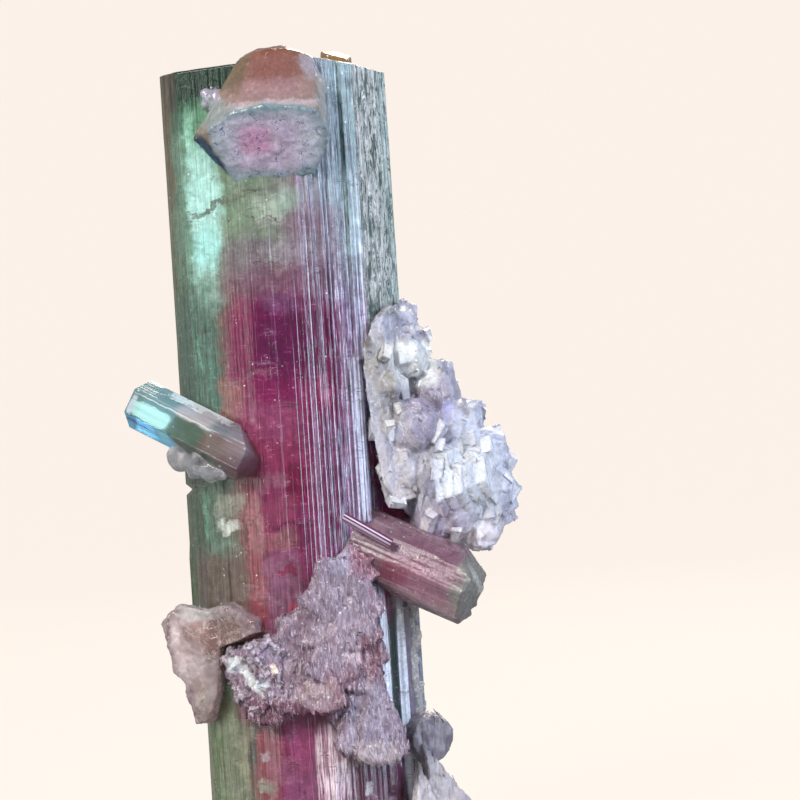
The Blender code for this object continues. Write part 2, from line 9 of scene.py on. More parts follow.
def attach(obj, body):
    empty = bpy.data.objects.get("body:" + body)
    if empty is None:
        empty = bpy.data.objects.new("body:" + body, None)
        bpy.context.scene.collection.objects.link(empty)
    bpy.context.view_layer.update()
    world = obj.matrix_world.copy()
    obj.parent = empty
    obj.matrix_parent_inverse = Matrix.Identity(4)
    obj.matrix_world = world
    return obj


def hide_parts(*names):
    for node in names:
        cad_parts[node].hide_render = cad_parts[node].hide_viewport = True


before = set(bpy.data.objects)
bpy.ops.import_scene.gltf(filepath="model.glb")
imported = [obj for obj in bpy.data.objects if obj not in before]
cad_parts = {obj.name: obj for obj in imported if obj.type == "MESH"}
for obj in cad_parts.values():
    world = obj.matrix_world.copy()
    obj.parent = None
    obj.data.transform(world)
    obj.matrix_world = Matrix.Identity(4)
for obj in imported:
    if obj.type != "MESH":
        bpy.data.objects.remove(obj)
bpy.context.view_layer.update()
print("frame loaded:", ", ".join(sorted(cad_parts)))

mm = 0.001  # every mesh is made in millimetres and scaled by this at the end
bench = bpy.data.collections.new("watermelon tourmaline look")
bpy.context.scene.collection.children.link(bench)


def linear(code):
    # sRGB hex to the linear values that a shader wants
    parts = [int(code[i:i + 2], 16) / 255 for i in (0, 2, 4)]
    return tuple(p / 12.92 if p <= 0.04045 else ((p + 0.055) / 1.055) ** 2.4 for p in parts) + (1.0,)


def setInputs(tree, node, links):
    # each input, by name or number, gets a value, a socket or another node's output
    for socket, value in links.items():
        if isinstance(value, bpy.types.Node):
            value = next(out for out in value.outputs if out.enabled)
        if isinstance(value, bpy.types.NodeSocket):
            tree.links.new(value, node.inputs[socket])
        else:
            node.inputs[socket].default_value = value


def addNode(tree, kind, links=(), **settings):
    # links is a dictionary of inputs, or their values in order
    made = tree.nodes.new(kind)
    for name, value in settings.items():
        setattr(made, name, value)
    setInputs(tree, made, links if isinstance(links, dict) else dict(enumerate(links)))
    return made


def newMaterial(name):
    material = bpy.data.materials.new(name)
    material.use_nodes = True
    tree = material.node_tree
    return material, tree, tree.nodes["Principled BSDF"]


def openTree(name, inputs):
    # a geometry node tree with a mesh in, a mesh out and the named inputs between them
    tree = bpy.data.node_groups.new(name, "GeometryNodeTree")
    tree.interface.new_socket("Geometry", in_out="INPUT", socket_type="NodeSocketGeometry")
    tree.interface.new_socket("Geometry", in_out="OUTPUT", socket_type="NodeSocketGeometry")
    for label, kind in inputs:
        tree.interface.new_socket(label, in_out="INPUT", socket_type="NodeSocket" + kind)
    return tree, tree.nodes.new("NodeGroupInput")


def closeTree(tree, geometry, material):
    whole = addNode(tree, "GeometryNodeRealizeInstances", (geometry,))
    painted = addNode(tree, "GeometryNodeSetMaterial", {"Geometry": whole, "Material": material})
    addNode(tree, "NodeGroupOutput", (painted,))


def plainMesh(obj):
    # bakes what is live on the object into its mesh
    graph = bpy.context.evaluated_depsgraph_get()
    graph.update()
    mesh = bpy.data.meshes.new_from_object(obj.evaluated_get(graph), depsgraph=graph)
    obj.modifiers.clear()
    obj.data = mesh
    return obj


def runTree(obj, tree, values):
    grow = obj.modifiers.new(tree.name, "NODES")
    grow.node_group = tree
    sockets = {item.name: item.identifier for item in tree.interface.items_tree
               if item.in_out == "INPUT"}
    for label, value in values.items():
        grow[sockets[label]] = value
    return plainMesh(obj)


def newObject(name, bm=None, mesh=None):
    if mesh is None:
        mesh = bpy.data.meshes.new(name)
        bm.normal_update()
        bmesh.ops.recalc_face_normals(bm, faces=bm.faces)
        bm.to_mesh(mesh)
        bm.free()
    obj = bpy.data.objects.new(name, mesh)
    bench.objects.link(obj)
    return obj


def putOn(obj, material, nodes, sharp=None):
    # the last step of every piece: metres, material, and what the frame has to know
    mesh = obj.data
    mesh.transform(Matrix.Scale(mm, 4))
    mesh.name = obj.name
    mesh.materials.clear()
    mesh.materials.append(material)
    for face in mesh.polygons:
        face.use_smooth = True
        face.material_index = 0
    if sharp:
        mesh.set_sharp_from_angle(angle=math.radians(sharp))
    mesh.update()
    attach(obj, "root")
    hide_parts(*nodes)
    print(f"{obj.name}: {len(mesh.polygons)} faces")


def axesFrom(out, up):
    # a turn whose Z points out and whose Y leans towards up
    z = Vector(out).normalized()
    x = Vector(up).cross(z).normalized()
    return Matrix((x, z.cross(x), z)).transposed().to_4x4()


view = {"stand": (12.4, -310.7, 55.3), "roll": 3.69, "lens": 120.0, "sensor": 36.0,
        "nearest": 10.0}
camera = bpy.data.cameras.new("camera")
camera.lens = view["lens"]
camera.sensor_width = view["sensor"]
camera.clip_start = view["nearest"] * mm
cameraStand = bpy.data.objects.new("camera", camera)
bpy.context.scene.collection.objects.link(cameraStand)
cameraStand.matrix_world = (
    Matrix.Translation(Vector(view["stand"]) * mm)
    @ Matrix.Rotation(math.radians(90), 4, "X")
    @ Matrix.Rotation(math.radians(-view["roll"]), 4, "Z"))
bpy.context.scene.camera = cameraStand
bpy.context.scene.view_settings.view_transform = "Standard"

studio = {
    "floor": 620.0, "bend": 320.0, "wall": 1500.0,  # radius of the flat floor, of the bend, height
    "sides": 64, "bendSteps": 12,
    "paper": "fbf1e8", "shade": 0.05, "glow": 0.97,  # the paper's own shade and its own light
    "sky": "f6f4f4", "skyStrength": 0.42,
    "lamps": (  # name, place, aim, width, height, watts, colour
        ("key", (-230, -380, 330), (0, 0, 60), 170, 170, 2.9, "fffaf4"),
        ("right window", (330, -230, 120), (0, 0, 50), 90, 420, 2.15, "dce8ff"),
        ("low left", (-330, -120, 60), (0, 0, 45), 60, 300, 0.5, "f0fff8"),
        ("from behind", (120, 330, 300), (0, 0, 50), 220, 220, 1.4, "fff4e8"),
    ),
}


def paperMaterial():
    # matt paper lit evenly from within: one soft cream with no edge in it
    paper, tree, shader = newMaterial("matt paper backdrop")
    cream = linear(studio["paper"])
    setInputs(tree, shader, {
        "Base Color": [c * studio["shade"] for c in cream], "Roughness": 0.95,
        "Specular IOR Level": 0.1, "Emission Color": cream, "Emission Strength": studio["glow"]})
    return paper


def makeStudio():
    floor, bend, sides, steps = (studio[key] for key in ("floor", "bend", "sides", "bendSteps"))
    profile = [(floor / 2, 0.0), (floor, 0.0)]
    for step in range(1, steps + 1):
        turn = math.radians(90) * step / steps
        profile.append((floor + bend * math.sin(turn), bend * (1 - math.cos(turn))))
    profile.append((floor + bend, studio["wall"]))
    bm = bmesh.new()
    rings = []
    for radius, height in profile:
        rings.append([bm.verts.new((radius * math.cos(a), radius * math.sin(a), height))
                      for a in (math.tau * i / sides for i in range(sides))])
    centre = bm.verts.new((0.0, 0.0, 0.0))
    for i in range(sides):
        j = (i + 1) % sides
        bm.faces.new((centre, rings[0][i], rings[0][j]))
        for inner, outer in zip(rings, rings[1:]):
            bm.faces.new((inner[i], outer[i], outer[j], inner[j]))
    mesh = bpy.data.meshes.new("bowl")
    bm.to_mesh(mesh)
    bm.free()
    mesh.transform(Matrix.Scale(mm, 4))
    for face in mesh.polygons:
        face.use_smooth = True
    bowl = bpy.data.objects.new("bowl", mesh)
    bench.objects.link(bowl)
    mesh.materials.append(paperMaterial())
    bowl.visible_diffuse = bowl.visible_glossy = False  # keeps its glow from greying the crystals
    for name, place, aim, width, height, watts, tint in studio["lamps"]:
        lamp = bpy.data.lights.new(name, "AREA")
        lamp.shape = "RECTANGLE"
        lamp.size, lamp.size_y = width * mm, height * mm
        lamp.energy = watts
        lamp.color = linear(tint)[:3]
        stand = bpy.data.objects.new(name, lamp)
        stand.matrix_world = Matrix.Translation(Vector(place) * mm) @ (
            (Vector(place) - Vector(aim)).to_track_quat("Z", "Y").to_matrix().to_4x4())
        bpy.context.scene.collection.objects.link(stand)
    world = bpy.context.scene.world or bpy.data.worlds.new("pale studio")
    bpy.context.scene.world = world
    world.use_nodes = True
    setInputs(world.node_tree, world.node_tree.nodes["Background"], {
        "Color": linear(studio["sky"]), "Strength": studio["skyStrength"]})


makeStudio()
print("studio ready")


def makePatchGroup(turned):
    # one soft patch of colour: a rounded block round a centre, its edge as soft as asked
    group = bpy.data.node_groups.new("turned patch" if turned else "soft patch", "ShaderNodeTree")
    for label, kind in (("Under", "Color"), ("Place", "Vector"), ("Centre", "Vector"),
                        ("Scale", "Vector"), ("Shift", "Vector"), ("Turn", "Float"),
                        ("Far", "Float"), ("Near", "Float"), ("Color", "Color"), ("Amount", "Float")):
        group.interface.new_socket(label, in_out="INPUT", socket_type="NodeSocket" + kind)
    group.interface.new_socket("Color", in_out="OUTPUT", socket_type="NodeSocketColor")
    given = group.nodes.new("NodeGroupInput").outputs
    place = given["Place"]
    if turned:
        place = addNode(group, "ShaderNodeVectorRotate", {
            "Vector": place, "Center": given["Centre"], "Angle": given["Turn"]}, rotation_type="Y_AXIS")
    share = addNode(group, "ShaderNodeVectorMath", (place, given["Scale"], given["Shift"]),
                    operation="MULTIPLY_ADD")
    square = addNode(group, "ShaderNodeVectorMath", (share, share), operation="MULTIPLY")
    reach = addNode(group, "ShaderNodeVectorMath", (square,), operation="LENGTH")
    mask = addNode(group, "ShaderNodeMapRange", {
        "Value": reach, "From Min": given["Far"], "From Max": given["Near"],
        "To Max": given["Amount"]}, interpolation_type="SMOOTHSTEP")
    mixed = addNode(group, "ShaderNodeMix", {0: mask, 6: given["Under"], 7: given["Color"]},
                    data_type="RGBA")
    addNode(group, "NodeGroupOutput", (mixed,))
    return group


patchGroups = {turned: makePatchGroup(turned) for turned in (False, True)}


def paint(tree, under, place, patches):
    # lays patches of colour over each other: name, x, z, half width, half height, turn, edge, amount
    for name, x, z, wide, high, turn, edge, amount, color in patches:
        patch = addNode(tree, "ShaderNodeGroup", {
            "Place": place, "Under": under, "Centre": (x, 0.0, z),
            "Scale": (1.0 / wide, 0.0, 1.0 / high), "Shift": (-x / wide, 0.0, -z / high),
            "Turn": math.radians(turn), "Far": 1.0 + edge, "Near": 1.0 - edge,
            "Color": linear(color), "Amount": amount}, node_tree=patchGroups[turn != 0], label=name)
        under = patch.outputs["Color"]
    return under


def makeStriaeTree():
    # striations: the rule that every tourmaline prism here follows
    tree, given = openTree("striae", (
        ("Pitch", "Float"), ("Break", "Float"), ("Seed", "Float"), ("Material", "Material")))
    given = given.outputs
    around = addNode(tree, "GeometryNodeInputNamedAttribute", {"Name": "around"}, data_type="FLOAT")
    ribs = addNode(tree, "GeometryNodeInputNamedAttribute", {"Name": "ribs"}, data_type="FLOAT")
    outward = addNode(tree, "GeometryNodeInputNamedAttribute", {"Name": "outward"},
                      data_type="FLOAT_VECTOR")
    height = addNode(tree, "ShaderNodeSeparateXYZ", (addNode(tree, "GeometryNodeInputPosition"),))
    # ribs drift wider and narrower round the prism
    drift = addNode(tree, "ShaderNodeTexNoise", {"W": around, "Scale": 0.35, "Detail": 2.0},
                    noise_dimensions="1D")
    uneven = addNode(tree, "ShaderNodeMath", (drift, 4.0, around), operation="MULTIPLY_ADD")
    total = None
    # three layers of ribs, each finer and lower than the last: every rib has its own height,
    # which changes where the rib breaks
    for layer, (finer, lower) in enumerate(((1.0, 1.0), (0.43, 0.55), (0.2, 0.3))):
        pitch = addNode(tree, "ShaderNodeMath", (given["Pitch"], finer), operation="MULTIPLY")
        walk = addNode(tree, "ShaderNodeMath", (uneven, pitch), operation="DIVIDE")
        rib = addNode(tree, "ShaderNodeMath", (walk,), operation="FLOOR")
        across = addNode(tree, "ShaderNodeMath", (walk,), operation="FRACT")
        seed = addNode(tree, "ShaderNodeMath", (given["Seed"], float(layer)), operation="ADD")
        own = addNode(tree, "ShaderNodeTexWhiteNoise", {
            "Vector": addNode(tree, "ShaderNodeCombineXYZ", (rib, seed))}, noise_dimensions="3D")
        step = addNode(tree, "ShaderNodeMath", (height.outputs["Z"], given["Break"]),
                       operation="DIVIDE")
        shifted = addNode(tree, "ShaderNodeMath", (own, 9.0, step), operation="MULTIPLY_ADD")
        length = addNode(tree, "ShaderNodeMath", (shifted,), operation="FLOOR")
        tall = addNode(tree, "ShaderNodeTexWhiteNoise", {
            "Vector": addNode(tree, "ShaderNodeCombineXYZ", (rib, seed, length))},
            noise_dimensions="3D")
        side = addNode(tree, "ShaderNodeMath", (across, 2.0, -1.0), operation="MULTIPLY_ADD")
        fall = addNode(tree, "ShaderNodeMath", (side, 4.0), operation="POWER")
        crown = addNode(tree, "ShaderNodeMath", (1.0, fall), operation="SUBTRACT")
        one = addNode(tree, "ShaderNodeMath", (crown, tall), operation="MULTIPLY")
        one = addNode(tree, "ShaderNodeMath", (one, lower), operation="MULTIPLY")
        total = one if total is None else addNode(tree, "ShaderNodeMath", (total, one), operation="ADD")
    proud = addNode(tree, "ShaderNodeMath", (total, ribs), operation="MULTIPLY")
    offset = addNode(tree, "ShaderNodeVectorMath", {0: outward, 3: proud}, operation="SCALE")
    grown = addNode(tree, "GeometryNodeSetPosition", {"Geometry": given["Geometry"],
                                                      "Offset": offset})
    closeTree(tree, grown, given["Material"])
    return tree


striae = makeStriaeTree()


def column(name, spec, material, shape, placement=Matrix()):
    # a prism wall of upright points: walked round its section, then up through its levels
    corners = [Vector(c[:2]) for c in spec["section"]]
    ribs = spec["ribs"]
    walk, walked = [], 0.0
    for k in range(len(corners)):
        face = (k + spec["seam"]) % len(corners)
        start, end = corners[face], corners[(face + 1) % len(corners)]
        along = end - start
        out = Vector((along.y, -along.x)).normalized()
        count = max(3, round(along.length / spec["step"]))
        for i in range(count):
            share = i / count
            walk.append((start + along * share, out, walked + along.length * share, face, share))
        walked += along.length
    total = len(walk)
    blend = spec["round"]
    around = [w[2] for w in walk]
    outward = [sum((walk[(i + j) % total][1] for j in range(-blend, blend + 1)),
                   Vector((0, 0))).normalized() for i in range(total)]
    plain = [sum((walk[(i + j) % total][0] for j in range(-blend, blend + 1)),
                 Vector((0, 0))) / (2 * blend + 1) for i in range(total)]

    def topAt(x, y):
        return min(point[2] - ((x - point[0]) * normal[0] + (y - point[1]) * normal[1]) / normal[2]
                   for point, normal in spec["tops"])

    bm = bmesh.new()
    facts = {key: [] for key in ("around", "ribs", "outX", "outY")}
    rows = []
    for level in spec["levels"]:
        row = []
        for i, (_, _, _, face, share) in enumerate(walk):
            x, y = plain[i]
            z = level
            x, y, rise = shape(x, y, z, face, share, outward[i], ribs[face])
            top = topAt(x, y) - spec["lip"]
            if level > spec["stretch"]:
                z = spec["stretch"] + (level - spec["stretch"]) * (top - spec["stretch"]) / (
                    spec["levels"][-1] - spec["stretch"])
            row.append(bm.verts.new((x, y, z)))
            for key, value in zip(("around", "ribs", "outX", "outY"),
                                  (around[i], rise, outward[i].x, outward[i].y)):
                facts[key].append(value)
        rows.append(row)
    # the end face: rings towards the middle, with a rough grain that fades out at its rim
    middle = sum((Vector((v.co.x, v.co.y)) for v in rows[-1]), Vector((0, 0))) / total
    caps = []
    for share in spec["cap"]:
        row = []
        for i, under in enumerate(rows[-1]):
            flat = middle + (Vector((under.co.x, under.co.y)) - middle) * share
            rough = noise.noise(Vector((flat.x, flat.y, 3.0)) * spec["capGrain"]) * spec["capRough"]
            row.append(bm.verts.new((flat.x, flat.y, topAt(*flat) + rough * min(1.0, (1 - share) * 20))))
            for key, value in zip(("around", "ribs", "outX", "outY"), (around[i], 0.0, 0.0, 0.0)):
                facts[key].append(value)
        caps.append(row)
    for low, high in zip(rows + caps[:-1], rows[1:] + caps):
        for i in range(total):
            j = (i + 1) % total
            bm.faces.new((low[i], low[j], high[j], high[i]))
    peak = bm.verts.new((middle.x, middle.y, topAt(*middle)))
    for i in range(total):
        bm.faces.new((caps[-1][i], caps[-1][(i + 1) % total], peak))
    bm.faces.new(list(reversed(rows[0])))
    for key in facts:
        facts[key].append(0.0)
    bm.verts.index_update()
    mesh = bpy.data.meshes.new(name)
    bm.to_mesh(mesh)
    bm.free()
    for key in ("around", "ribs"):
        layer = mesh.attributes.new(key, "FLOAT", "POINT")
        layer.data.foreach_set("value", facts[key])
    layer = mesh.attributes.new("outward", "FLOAT_VECTOR", "POINT")
    layer.data.foreach_set("vector", [c for x, y in zip(facts["outX"], facts["outY"])
                                      for c in (x, y, 0.0)])
    obj = newObject(name, mesh=mesh)
    runTree(obj, striae, {"Pitch": spec["pitch"], "Break": spec["break"], "Seed": spec["seed"],
                          "Material": material})
    obj.data.transform(placement)
    return obj


prism = {
    "section": (  # corners x, y, from the left edge round the front
        (-13.0, -0.6), (-10.7, -7.6), (-3.6, -10.6), (2.0, -11.0), (9.3, -8.2), (12.8, -1.4),
        (12.0, 4.0), (6.5, 9.4), (0.0, 11.2), (-6.6, 9.8), (-12.0, 4.2)),
    "ribs": (0.10, 0.07, 0.09, 0.30, 0.22, 0.20, 0.16, 0.26, 0.16, 0.28, 0.16),
    "tops": (((0.0, 3.0, 95.9), (-0.064, -0.101, 1.0)), ((0.0, 3.0, 95.9), (0.188, -0.028, 1.0)),
             ((0.0, 3.0, 95.9), (0.0, 0.16, 1.0))),
    "seam": 8, "step": 0.085, "round": 2, "pitch": 0.85, "break": 46.0, "seed": 3.0,
    "stretch": 88.0, "lip": 0.12, "cap": (0.985, 0.94, 0.85, 0.72, 0.55, 0.35, 0.15),
    "capGrain": 0.7, "capRough": 0.12,
    "laths": (  # ribs that stand proud: face, start, end, foot, top, how proud
        (3, 0.62, 0.86, 41.7, 60.5, 0.55), (3, 0.76, 0.99, 60.0, 94.9, 0.50),
        (3, 0.34, 0.42, 36.5, 83.0, 0.40), (3, 0.14, 0.22, 34.0, 94.6, 0.35),
        (3, 0.00, 0.30, 0.0, 19.5, 0.40), (3, 0.84, 0.99, 11.0, 33.0, 0.45),
        (4, 0.30, 0.62, 4.0, 31.5, 0.45), (7, 0.20, 0.55, 0.0, 71.0, 0.55),
        (8, 0.30, 0.70, 22.0, 93.0, 0.45), (9, 0.15, 0.45, 0.0, 58.0, 0.60),
        (9, 0.60, 0.80, 31.0, 92.5, 0.45), (10, 0.25, 0.65, 12.0, 84.0, 0.45)),
    "highest": 95.0, "apart": 1.75,  # the rows of points: up to here, and so far apart
    "scar": (38.5, 58.0, 4, 1.1),  # foot, top, corner, depth of the spalled right shoulder
    "scarRough": 0.12,
    "ledge": (26.0, -14.2, 2.0, 3.0),  # top, centre x, reach, lean of the step in the left edge
    "notch": (46.5, 0.62, -10.6),  # height, half width, how far right the crack nicks the edge
}


def prismLevels():
    # even rows, and a close pair of them wherever a lath, the scar, the ledge or the notch steps
    highest, apart = prism["highest"], prism["apart"]
    levels = [i * apart for i in range(int(highest / apart) + 1)]
    for _, _, _, foot, top, _ in prism["laths"]:
        levels += [foot - 0.06, foot + 0.06, top - 0.06, top + 0.06]
    foot, top = prism["scar"][:2]
    levels += [foot - 0.05, foot + 0.05, top - 0.05, top + 0.05]
    levels += [prism["ledge"][0] - 0.05, prism["ledge"][0] + 0.05]
    levels += [prism["notch"][0] + shift for shift in (-0.65, -0.3, 0.0, 0.3, 0.65)]
    kept = []
    for level in sorted(levels):
        if 0.0 <= level <= highest and (not kept or level - kept[-1] > 0.09):
            kept.append(level)
    return kept[:-1] + [highest]


def shapePrism(x, y, z, face, share, outward, ribs):
    # the scar, the laths, the ledge and the notch, as a shift of one point of the prism's wall
    spot = Vector((x, y))
    foot, top, corner, depth = prism["scar"]
    way = Vector(prism["section"][corner]).normalized()
    over = spot.dot(way) - (Vector(prism["section"][corner]).length - depth)
    if foot < z < top and over > 0 and (face == corner or share > 0.85):
        spot -= way * over
        spot += way * prism["scarRough"] * noise.noise(Vector((x, y, z)) * 0.5)
        ribs = 0.0
    start = Vector(prism["section"][face])
    length = (Vector(prism["section"][(face + 1) % len(prism["section"])]) - start).length
    for on, low, high, foot, top, proud in prism["laths"]:
        if face == on and foot < z < top and low < share < high:
            edge = min(share - low, high - share) * length
            spot += outward * proud * min(1.0, edge / (0.4 * proud))
            ribs *= 0.7
    top, centre, reach, lean = prism["ledge"]
    way = Vector((math.cos(math.radians(lean)), math.sin(math.radians(lean))))
    inside = reach - (spot - Vector((centre, 0.0))).dot(way)
    if z < top and inside > 0:
        spot += way * inside
    height, half, limit = prism["notch"]
    if abs(z - height) < half and spot.x < limit:
        spot -= outward * (half - abs(z - height)) * min(1.0, (limit - spot.x) * 0.8)
        ribs *= 0.3
    return spot.x, spot.y, ribs


prismPatches = (  # name, x, z, half width, half height, turn, edge, amount, colour
    ("deep green shoulder", -7.6, 92.6, 5.2, 3.0, 4, 0.35, 1.0, "0a2818"),
    ("green below the shoulder", -8.8, 89.0, 3.4, 1.8, 0, 0.8, 0.85, "224c34"),
    ("brown top left corner", -12.4, 92.4, 1.2, 3.4, 0, 0.7, 0.85, "3e3424"),
    ("brown left edge", -12.6, 86.0, 0.8, 6.4, 0, 0.7, 0.75, "5c4e3a"),
    ("mint streak", -9.5, 86.6, 0.67, 2.9, 0, 0.9, 0.8, "8cc4aa"),
    ("green under the crystal", -7.4, 87.0, 1.3, 3.4, 10, 0.8, 0.7, "5c8c6c"),
    # painted glow: the rind's mint green, made bright where light shines out from inside the crystal
    ("painted mint glow", -8.2, 79.6, 1.75, 5.2, 2, 0.75, 0.92, "a8d8d0"),
    ("pale window", -1.1, 78.1, 1.73, 1.49, 0, 0.9, 0.5, "a8b8a6"),
    ("mint patch", 1.2, 78.9, 1.4, 1.7, 0, 1.0, 0.5, "86a494"),
    # painted glow: the same mint light, lower down
    ("painted mint glow lower", -8.4, 73.4, 1.5, 2.4, 0, 0.7, 0.92, "98d0ca"),
    ("fracture band", -6.9, 78.6, 2.9, 0.30, 20, 0.7, 0.85, "4f5749"),
    ("fracture band right", -3.0, 80.2, 1.87, 0.18, 12, 0.7, 0.8, "5c584c"),
    ("fracture line", -1.6, 76.8, 2.33, 0.10, -5, 0.7, 0.9, "4c4248"),
    ("mint fade", -8.5, 69.4, 1.6, 2.6, 0, 0.8, 0.7, "80a496"),
    ("left band", -10.3, 61.9, 2.6, 6.9, 0, 0.6, 0.8, "3f5a4e"),
    ("teal streak", -8.6, 60.0, 0.47, 5.32, 0, 0.8, 0.5, "3c665a"),
    ("teal streak left", -9.9, 62.1, 0.21, 2.24, 0, 0.8, 0.5, "5a9a82"),
    ("brown shade", -9.5, 64.9, 0.35, 0.47, 0, 0.8, 0.6, "5a5242"),
    ("dark inclusion", -8.9, 65.1, 0.55, 0.6, 0, 0.7, 0.9, "2a443a"),
    ("mauve change", -3.9, 72.5, 2.71, 2.61, 0, 0.8, 0.8, "6c5e68"),
    ("wine change right", 4.2, 73.4, 2.9, 4.4, 0, 0.9, 0.7, "6e5266"),
    ("pink change", -1.3, 69.1, 5.13, 2.15, 0, 0.9, 0.75, "684258"),
    ("magenta core", -0.3, 60.5, 6.3, 7.4, 0, 0.4, 0.92, "6e1246"),
    ("deepest magenta", 0.8, 63.0, 4.6, 4.2, 0, 1.0, 0.88, "4c083a"),
    ("crimson left", -5.0, 62.2, 1.3, 4.6, 0, 0.8, 0.7, "6c1a42"),
    ("violet haze", -0.2, 67.2, 1.96, 1.2, 0, 0.8, 0.5, "6b4468"),
    ("flecked haze", 1.7, 73.1, 3.2, 1.2, 0, 0.8, 0.6, "8a828c"),
    ("salmon patch", -6.5, 56.7, 1.49, 2.2, 0, 0.8, 0.6, "8a5a58"),
    ("rose right", 4.1, 56.9, 0.56, 2.05, 0, 0.8, 0.5, "b45a7a"),
    ("dusk band", -3.6, 59.1, 1.8, 0.35, 0, 0.8, 0.5, "7c4c5c"),
    ("rose lower", -2.4, 53.4, 3.6, 2.6, 0, 0.8, 0.65, "864060"),
    # painted shade: darker green below the left crystal, where its shadow falls
    ("painted shade under the crystal", -8.6, 49.8, 1.40, 2.71, 30, 0.7, 0.7, "36503e"),
    ("brown pink", -5.5, 49.4, 1.68, 1.96, 0, 0.8, 0.6, "8c5450"),
    ("green lower left", -11.2, 43.7, 1.38, 4.61, 0, 0.7, 0.85, "334a34"),
    ("green streak", -10.4, 43.0, 0.36, 2.4, 0, 1.0, 0.55, "5c8a70"),
    ("teal mottle", -8.7, 39.5, 1.96, 1.35, 0, 0.8, 0.5, "5f7f6e"),
    # painted highlight: pale shine where the block faces catch the light
    ("shining block upper", -7.6, 44.6, 1.5, 1.3, 0, 0.8, 0.6, "8c8e80"),
    ("shining block lower", -7.7, 42.2, 1.2, 0.7, 0, 0.8, 0.75, "c4c8c0"),
    ("brown flesh", -9.1, 35.7, 3.0, 3.8, 0, 0.7, 0.88, "56423a"),
    ("crimson middle", -1.6, 49.4, 3.0, 2.6, 0, 0.8, 0.75, "7c2c4c"),
    ("deep magenta low", 0.1, 46.3, 1.3, 2.1, 0, 0.7, 0.9, "600430"),
    ("silver haze", -2.4, 46.7, 1.5, 1.0, 0, 0.8, 0.25, "967480"),
    ("rose band", -1.7, 43.6, 1.96, 1.21, 0, 0.8, 0.6, "7c3850"),
    ("brown window", -1.8, 40.2, 1.9, 1.3, 0, 0.9, 0.5, "906862"),
    ("mottled rose", -1.9, 34.0, 2.33, 4.39, 0, 0.7, 0.75, "845a72"),
    ("dark seam", -0.1, 42.1, 2.33, 0.16, 1, 0.7, 0.8, "4c1434"),
    ("red line", -1.4, 36.9, 1.21, 0.25, 0, 0.7, 0.7, "82183c"),
    ("red patch", -1.4, 32.2, 0.56, 1.12, 0, 0.7, 0.6, "a43a4e"),
    ("salmon column", -5.0, 34.7, 0.70, 5.6, 0, 0.5, 0.8, "7e3a44"),
    ("salmon column top", -4.8, 42.4, 0.8, 3.2, 0, 0.6, 0.7, "946468"),
    ("smooth magenta", 9.1, 50.5, 0.50, 5.29, 0, 0.5, 0.95, "702a4e"),
    ("smooth magenta low", 10.7, 42.1, 2.52, 2.02, 20, 0.6, 0.95, "78244a"),
    ("olive lower left", -10.2, 14.5, 2.6, 9.0, 0, 0.6, 0.85, "6c7058"),
    ("fresh green", -11.0, 15.3, 0.7, 5.46, 0, 0.8, 0.5, "5a7048"),
    ("pale olive", -7.6, 15.7, 0.54, 3.23, 0, 0.8, 0.5, "8c8c72"),
    ("wine foot left", -6.5, 21.5, 1.72, 1.29, 0, 0.8, 0.6, "70404c"),
    ("teal line", -6.7, 17.5, 0.26, 2.8, 0, 0.9, 0.6, "2a4c46"),
    ("orange rose", -4.1, 17.2, 1.1, 2.0, 0, 0.8, 0.7, "84525c"),
    ("mauve bottom", -3.1, 14.3, 2.15, 1.29, 0, 0.8, 0.6, "8c5a68"),
    ("crimson foot", -1.7, 8.0, 2.05, 7.0, 0, 0.5, 0.88, "804466"),
    ("crimson upper", -0.8, 18.2, 1.6, 3.34, 0, 0.7, 0.82, "90446c"),
    ("silver ribs ground", 2.6, 10.0, 2.0, 9.6, 0, 0.3, 0.85, "ac8298"),
    ("wine right", 6.8, 8.0, 3.62, 7.2, 0, 0.6, 0.88, "54303f"),
    ("teal strip", 9.85, 22.5, 0.65, 8.5, 0, 0.5, 0.97, "0c3030"),
    ("bruise", -5.3, 16.0, 0.5, 0.6, 0, 0.9, 0.55, "b4aeb8"),
    ("pale green bruise", -5.3, 12.5, 0.7, 1.0, 0, 1.0, 0.5, "8ca28c"),
    ("white bruise", 6.1, 11.9, 0.5, 0.7, 0, 0.7, 0.7, "b8b8c0"),
)
backPatches = (
    ("rose heart behind", 1.0, 44.0, 6.2, 24.0, 0, 0.35, 0.9, "8e3a5c"),
    ("deep rose behind", 2.2, 56.0, 2.6, 9.0, 0, 0.6, 0.8, "741442"),
    ("salmon behind", -3.6, 28.0, 1.6, 9.0, 0, 0.6, 0.7, "b4685e"),
    ("mint behind", -7.5, 80.0, 2.2, 8.0, 0, 1.0, 0.65, "94c8b0"),
    ("green top behind", 1.0, 92.0, 9.0, 3.0, 0, 0.6, 0.8, "3f6f52"),
    ("haze behind", 1.0, 69.0, 5.4, 2.4, 6, 1.0, 0.5, "8a8480"),
    ("pale haze behind", 6.6, 36.0, 1.8, 4.2, 0, 1.0, 0.4, "a9ae96"),
    ("brown foot behind", -6.0, 6.0, 5.0, 6.0, 0, 0.6, 0.7, "6f6150"),
)
